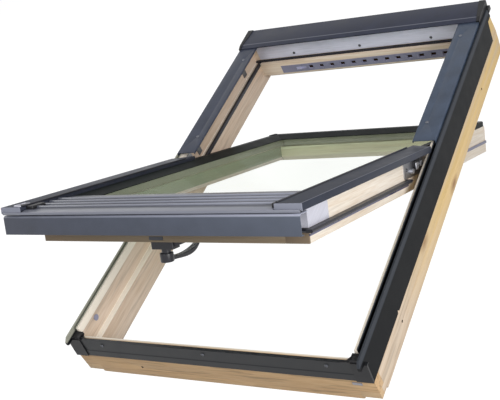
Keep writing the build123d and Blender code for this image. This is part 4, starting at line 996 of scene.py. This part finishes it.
class SKYLIGHT_OT_screws(bpy.types.Operator):
    """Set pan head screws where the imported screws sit"""

    bl_idname = "skylight.screws"
    bl_label = "Screws"

    def execute(self, context):
        fitting = context.scene.skylight_fitting
        metal = brushed_finish("screw_metal", fitting.screw_metal, roughness=0.34, along="X", metal=0.8)
        pale = brushed_finish("cover_screw_metal", shaded(fitting.screw_metal, 1.8), roughness=0.34,
                              along="X", metal=0.8)
        for node, outward, finish in (("cover_screws", (0, 0, 1), pale),
                                      ("strip_screws", (0, -1, 0), metal),
                                      ("profile_screws", (0, -1, 0), metal),
                                      ("arm_screws", None, metal)):
            work = bmesh.new()
            for low, high in solids_of(node):
                middle = (low + high) / 2
                if outward:
                    axis, rise = Vector(outward), fitting.screw_rise
                else:
                    # Heads on the hinge arms face sideways and are as thick as their packed screws
                    axis, rise = Vector((math.copysign(1.0, middle.x), 0, 0)), high.x - low.x
                seat = middle + axis * (abs((high - middle).dot(axis)) - rise)
                screw_head(work, fitting.screw_head, rise, seat, axis)
            bmesh.ops.recalc_face_normals(work, faces=work.faces)
            replace_node(node, "_heads", work, finish)
        return {"FINISHED"}


# Lamps: name, place, width and the setting that holds the power. All aim at one place
LAMPS = (
    ("key_lamp", (2.7, -0.55, 1.30), 1.6, "key_power"),
    ("fill_lamp", (-2.5, 0.8, 1.2), 1.4, "fill_power"),
    ("front_lamp", (-0.1, -1.6, 2.9), 1.5, "front_power"),
)
LAMP_AIM = Vector((0.0, 0.42, 0.12))
FLOOR_ALONG, FLOOR_GREYS, FLOOR_GLOW = 0.4, (0.33, 0.36), 0.82
WHITE = (1.0, 1.0, 1.0)
# The camera was fitted to the photo together with the proportions of the frame
CAMERA_PLACE = Vector((0.996567, -0.808667, 1.286195))
CAMERA_RIGHT = Vector((0.846375, 0.366473, -0.386454))
CAMERA_UP = Vector((0.014938, 0.708995, 0.705055))
SENSOR_WIDTH, CLIP_START, CLIP_END = 36.0, 0.05, 60.0


def seen_rays(tree):
    """One where a ray comes from the camera, a mirror or glass."""
    rays = tree.nodes.new("ShaderNodeLightPath")
    glossy = number_mix(tree, "MAXIMUM", rays.outputs["Is Glossy Ray"], rays.outputs["Is Transmission Ray"])
    return number_mix(tree, "MAXIMUM", rays.outputs["Is Camera Ray"], glossy)


class SKYLIGHT_OT_stage(bpy.types.Operator):
    """Set the pale floor, the soft lamps and the camera"""

    bl_idname = "skylight.stage"
    bl_label = "Stage"

    def execute(self, context):
        scene = context.scene
        stage = scene.skylight_stage
        scene.view_settings.view_transform = "Standard"
        self.lay_floor(scene, stage)
        self.light_sky(scene, stage)
        for name, place, width, power in LAMPS:
            self.hang_lamp(scene, name, Vector(place), width, getattr(stage, power))
        self.set_camera(scene, stage)
        return {"FINISHED"}

    def lay_floor(self, scene, stage):
        work = bmesh.new()
        bmesh.ops.create_grid(work, x_segments=1, y_segments=1, size=stage.floor_half,
                              matrix=Matrix.Translation((0, FLOOR_ALONG, stage.floor_level)))
        mesh = bpy.data.meshes.new("studio_floor")
        work.to_mesh(mesh)
        work.free()
        material, tree, shader = fresh_material("pale_floor")
        clouds = grain_noise(tree, surface_points(tree), scale=3.0)
        glow = number_mix(tree, "MULTIPLY", seen_rays(tree), FLOOR_GLOW)
        set_inputs(tree, shader, {"Base Color": spread_greys(tree, clouds, *FLOOR_GREYS),
                                  "Roughness": 0.9, "Specular IOR Level": 0.0,
                                  "Emission Color": WHITE, "Emission Strength": glow})
        mesh.materials.append(material)
        floor = bpy.data.objects.new("studio_floor", mesh)
        scene.collection.objects.link(floor)

    def light_sky(self, scene, stage):
        world = bpy.data.worlds.new("studio_sky")
        scene.world = world
        world.use_nodes = True
        tree = world.node_tree
        tree.nodes.clear()
        strength = number_mix(tree, "MAXIMUM", seen_rays(tree), stage.sky_light)
        sky = new_node(tree, "Background", {"Color": WHITE, "Strength": strength})
        new_node(tree, "OutputWorld", {"Surface": sky.outputs["Background"]})

    def hang_lamp(self, scene, name, place, width, power):
        lamp = bpy.data.lights.new(name, "AREA")
        lamp.shape = "SQUARE"
        lamp.size = width
        lamp.energy = power
        holder = bpy.data.objects.new(name, lamp)
        holder.location = place
        holder.rotation_euler = (LAMP_AIM - place).to_track_quat("-Z", "Y").to_euler()
        scene.collection.objects.link(holder)

    def set_camera(self, scene, stage):
        camera = bpy.data.cameras.new("photo_camera")
        camera.sensor_width = SENSOR_WIDTH
        camera.lens = stage.lens
        camera.clip_start, camera.clip_end = CLIP_START, CLIP_END
        holder = bpy.data.objects.new("photo_camera", camera)
        back = CAMERA_RIGHT.cross(CAMERA_UP).normalized()
        up = back.cross(CAMERA_RIGHT).normalized()
        axes = Matrix((CAMERA_RIGHT, up, back)).transposed().to_4x4()
        holder.matrix_world = Matrix.Translation(CAMERA_PLACE) @ axes
        scene.collection.objects.link(holder)
        scene.camera = holder


class SKYLIGHT_PT_pieces(bpy.types.Panel):
    """Lists the settings and the steps that dress the skylight"""

    bl_label = "Roof Skylight"
    bl_idname = "SKYLIGHT_PT_pieces"
    bl_space_type = "VIEW_3D"
    bl_region_type = "UI"
    bl_category = "Skylight"

    def draw(self, context):
        for group in SETTINGS:
            box = self.layout.box()
            settings = getattr(context.scene, group)
            for name in settings.__annotations__:
                box.prop(settings, name)
        for step in STEPS:
            self.layout.operator(step.bl_idname)


SETTINGS = {
    "skylight_timber": TimberSettings,
    "skylight_sheet": SheetSettings,
    "skylight_glass": GlassSettings,
    "skylight_fitting": FittingSettings,
    "skylight_stage": StageSettings,
}
STEPS = (SKYLIGHT_OT_timber, SKYLIGHT_OT_covers, SKYLIGHT_OT_profiles, SKYLIGHT_OT_glass, SKYLIGHT_OT_seals,
         SKYLIGHT_OT_fittings, SKYLIGHT_OT_trims, SKYLIGHT_OT_hinges, SKYLIGHT_OT_screws,
         SKYLIGHT_OT_stage)


def register():
    for name, group in SETTINGS.items():
        bpy.utils.register_class(group)
        setattr(bpy.types.Scene, name, PointerProperty(type=group))
    for step in STEPS:
        bpy.utils.register_class(step)
    bpy.utils.register_class(SKYLIGHT_PT_pieces)


def unregister():
    bpy.utils.unregister_class(SKYLIGHT_PT_pieces)
    for step in reversed(STEPS):
        bpy.utils.unregister_class(step)
    for name, group in SETTINGS.items():
        delattr(bpy.types.Scene, name)
        bpy.utils.unregister_class(group)


def main():
    register()
    bpy.ops.skylight.timber()
    bpy.ops.skylight.covers()
    bpy.ops.skylight.profiles()
    bpy.ops.skylight.glass()
    bpy.ops.skylight.seals()
    bpy.ops.skylight.fittings()
    bpy.ops.skylight.trims()
    bpy.ops.skylight.hinges()
    bpy.ops.skylight.screws()
    bpy.ops.skylight.stage()


if __name__ == "__main__":
    main()
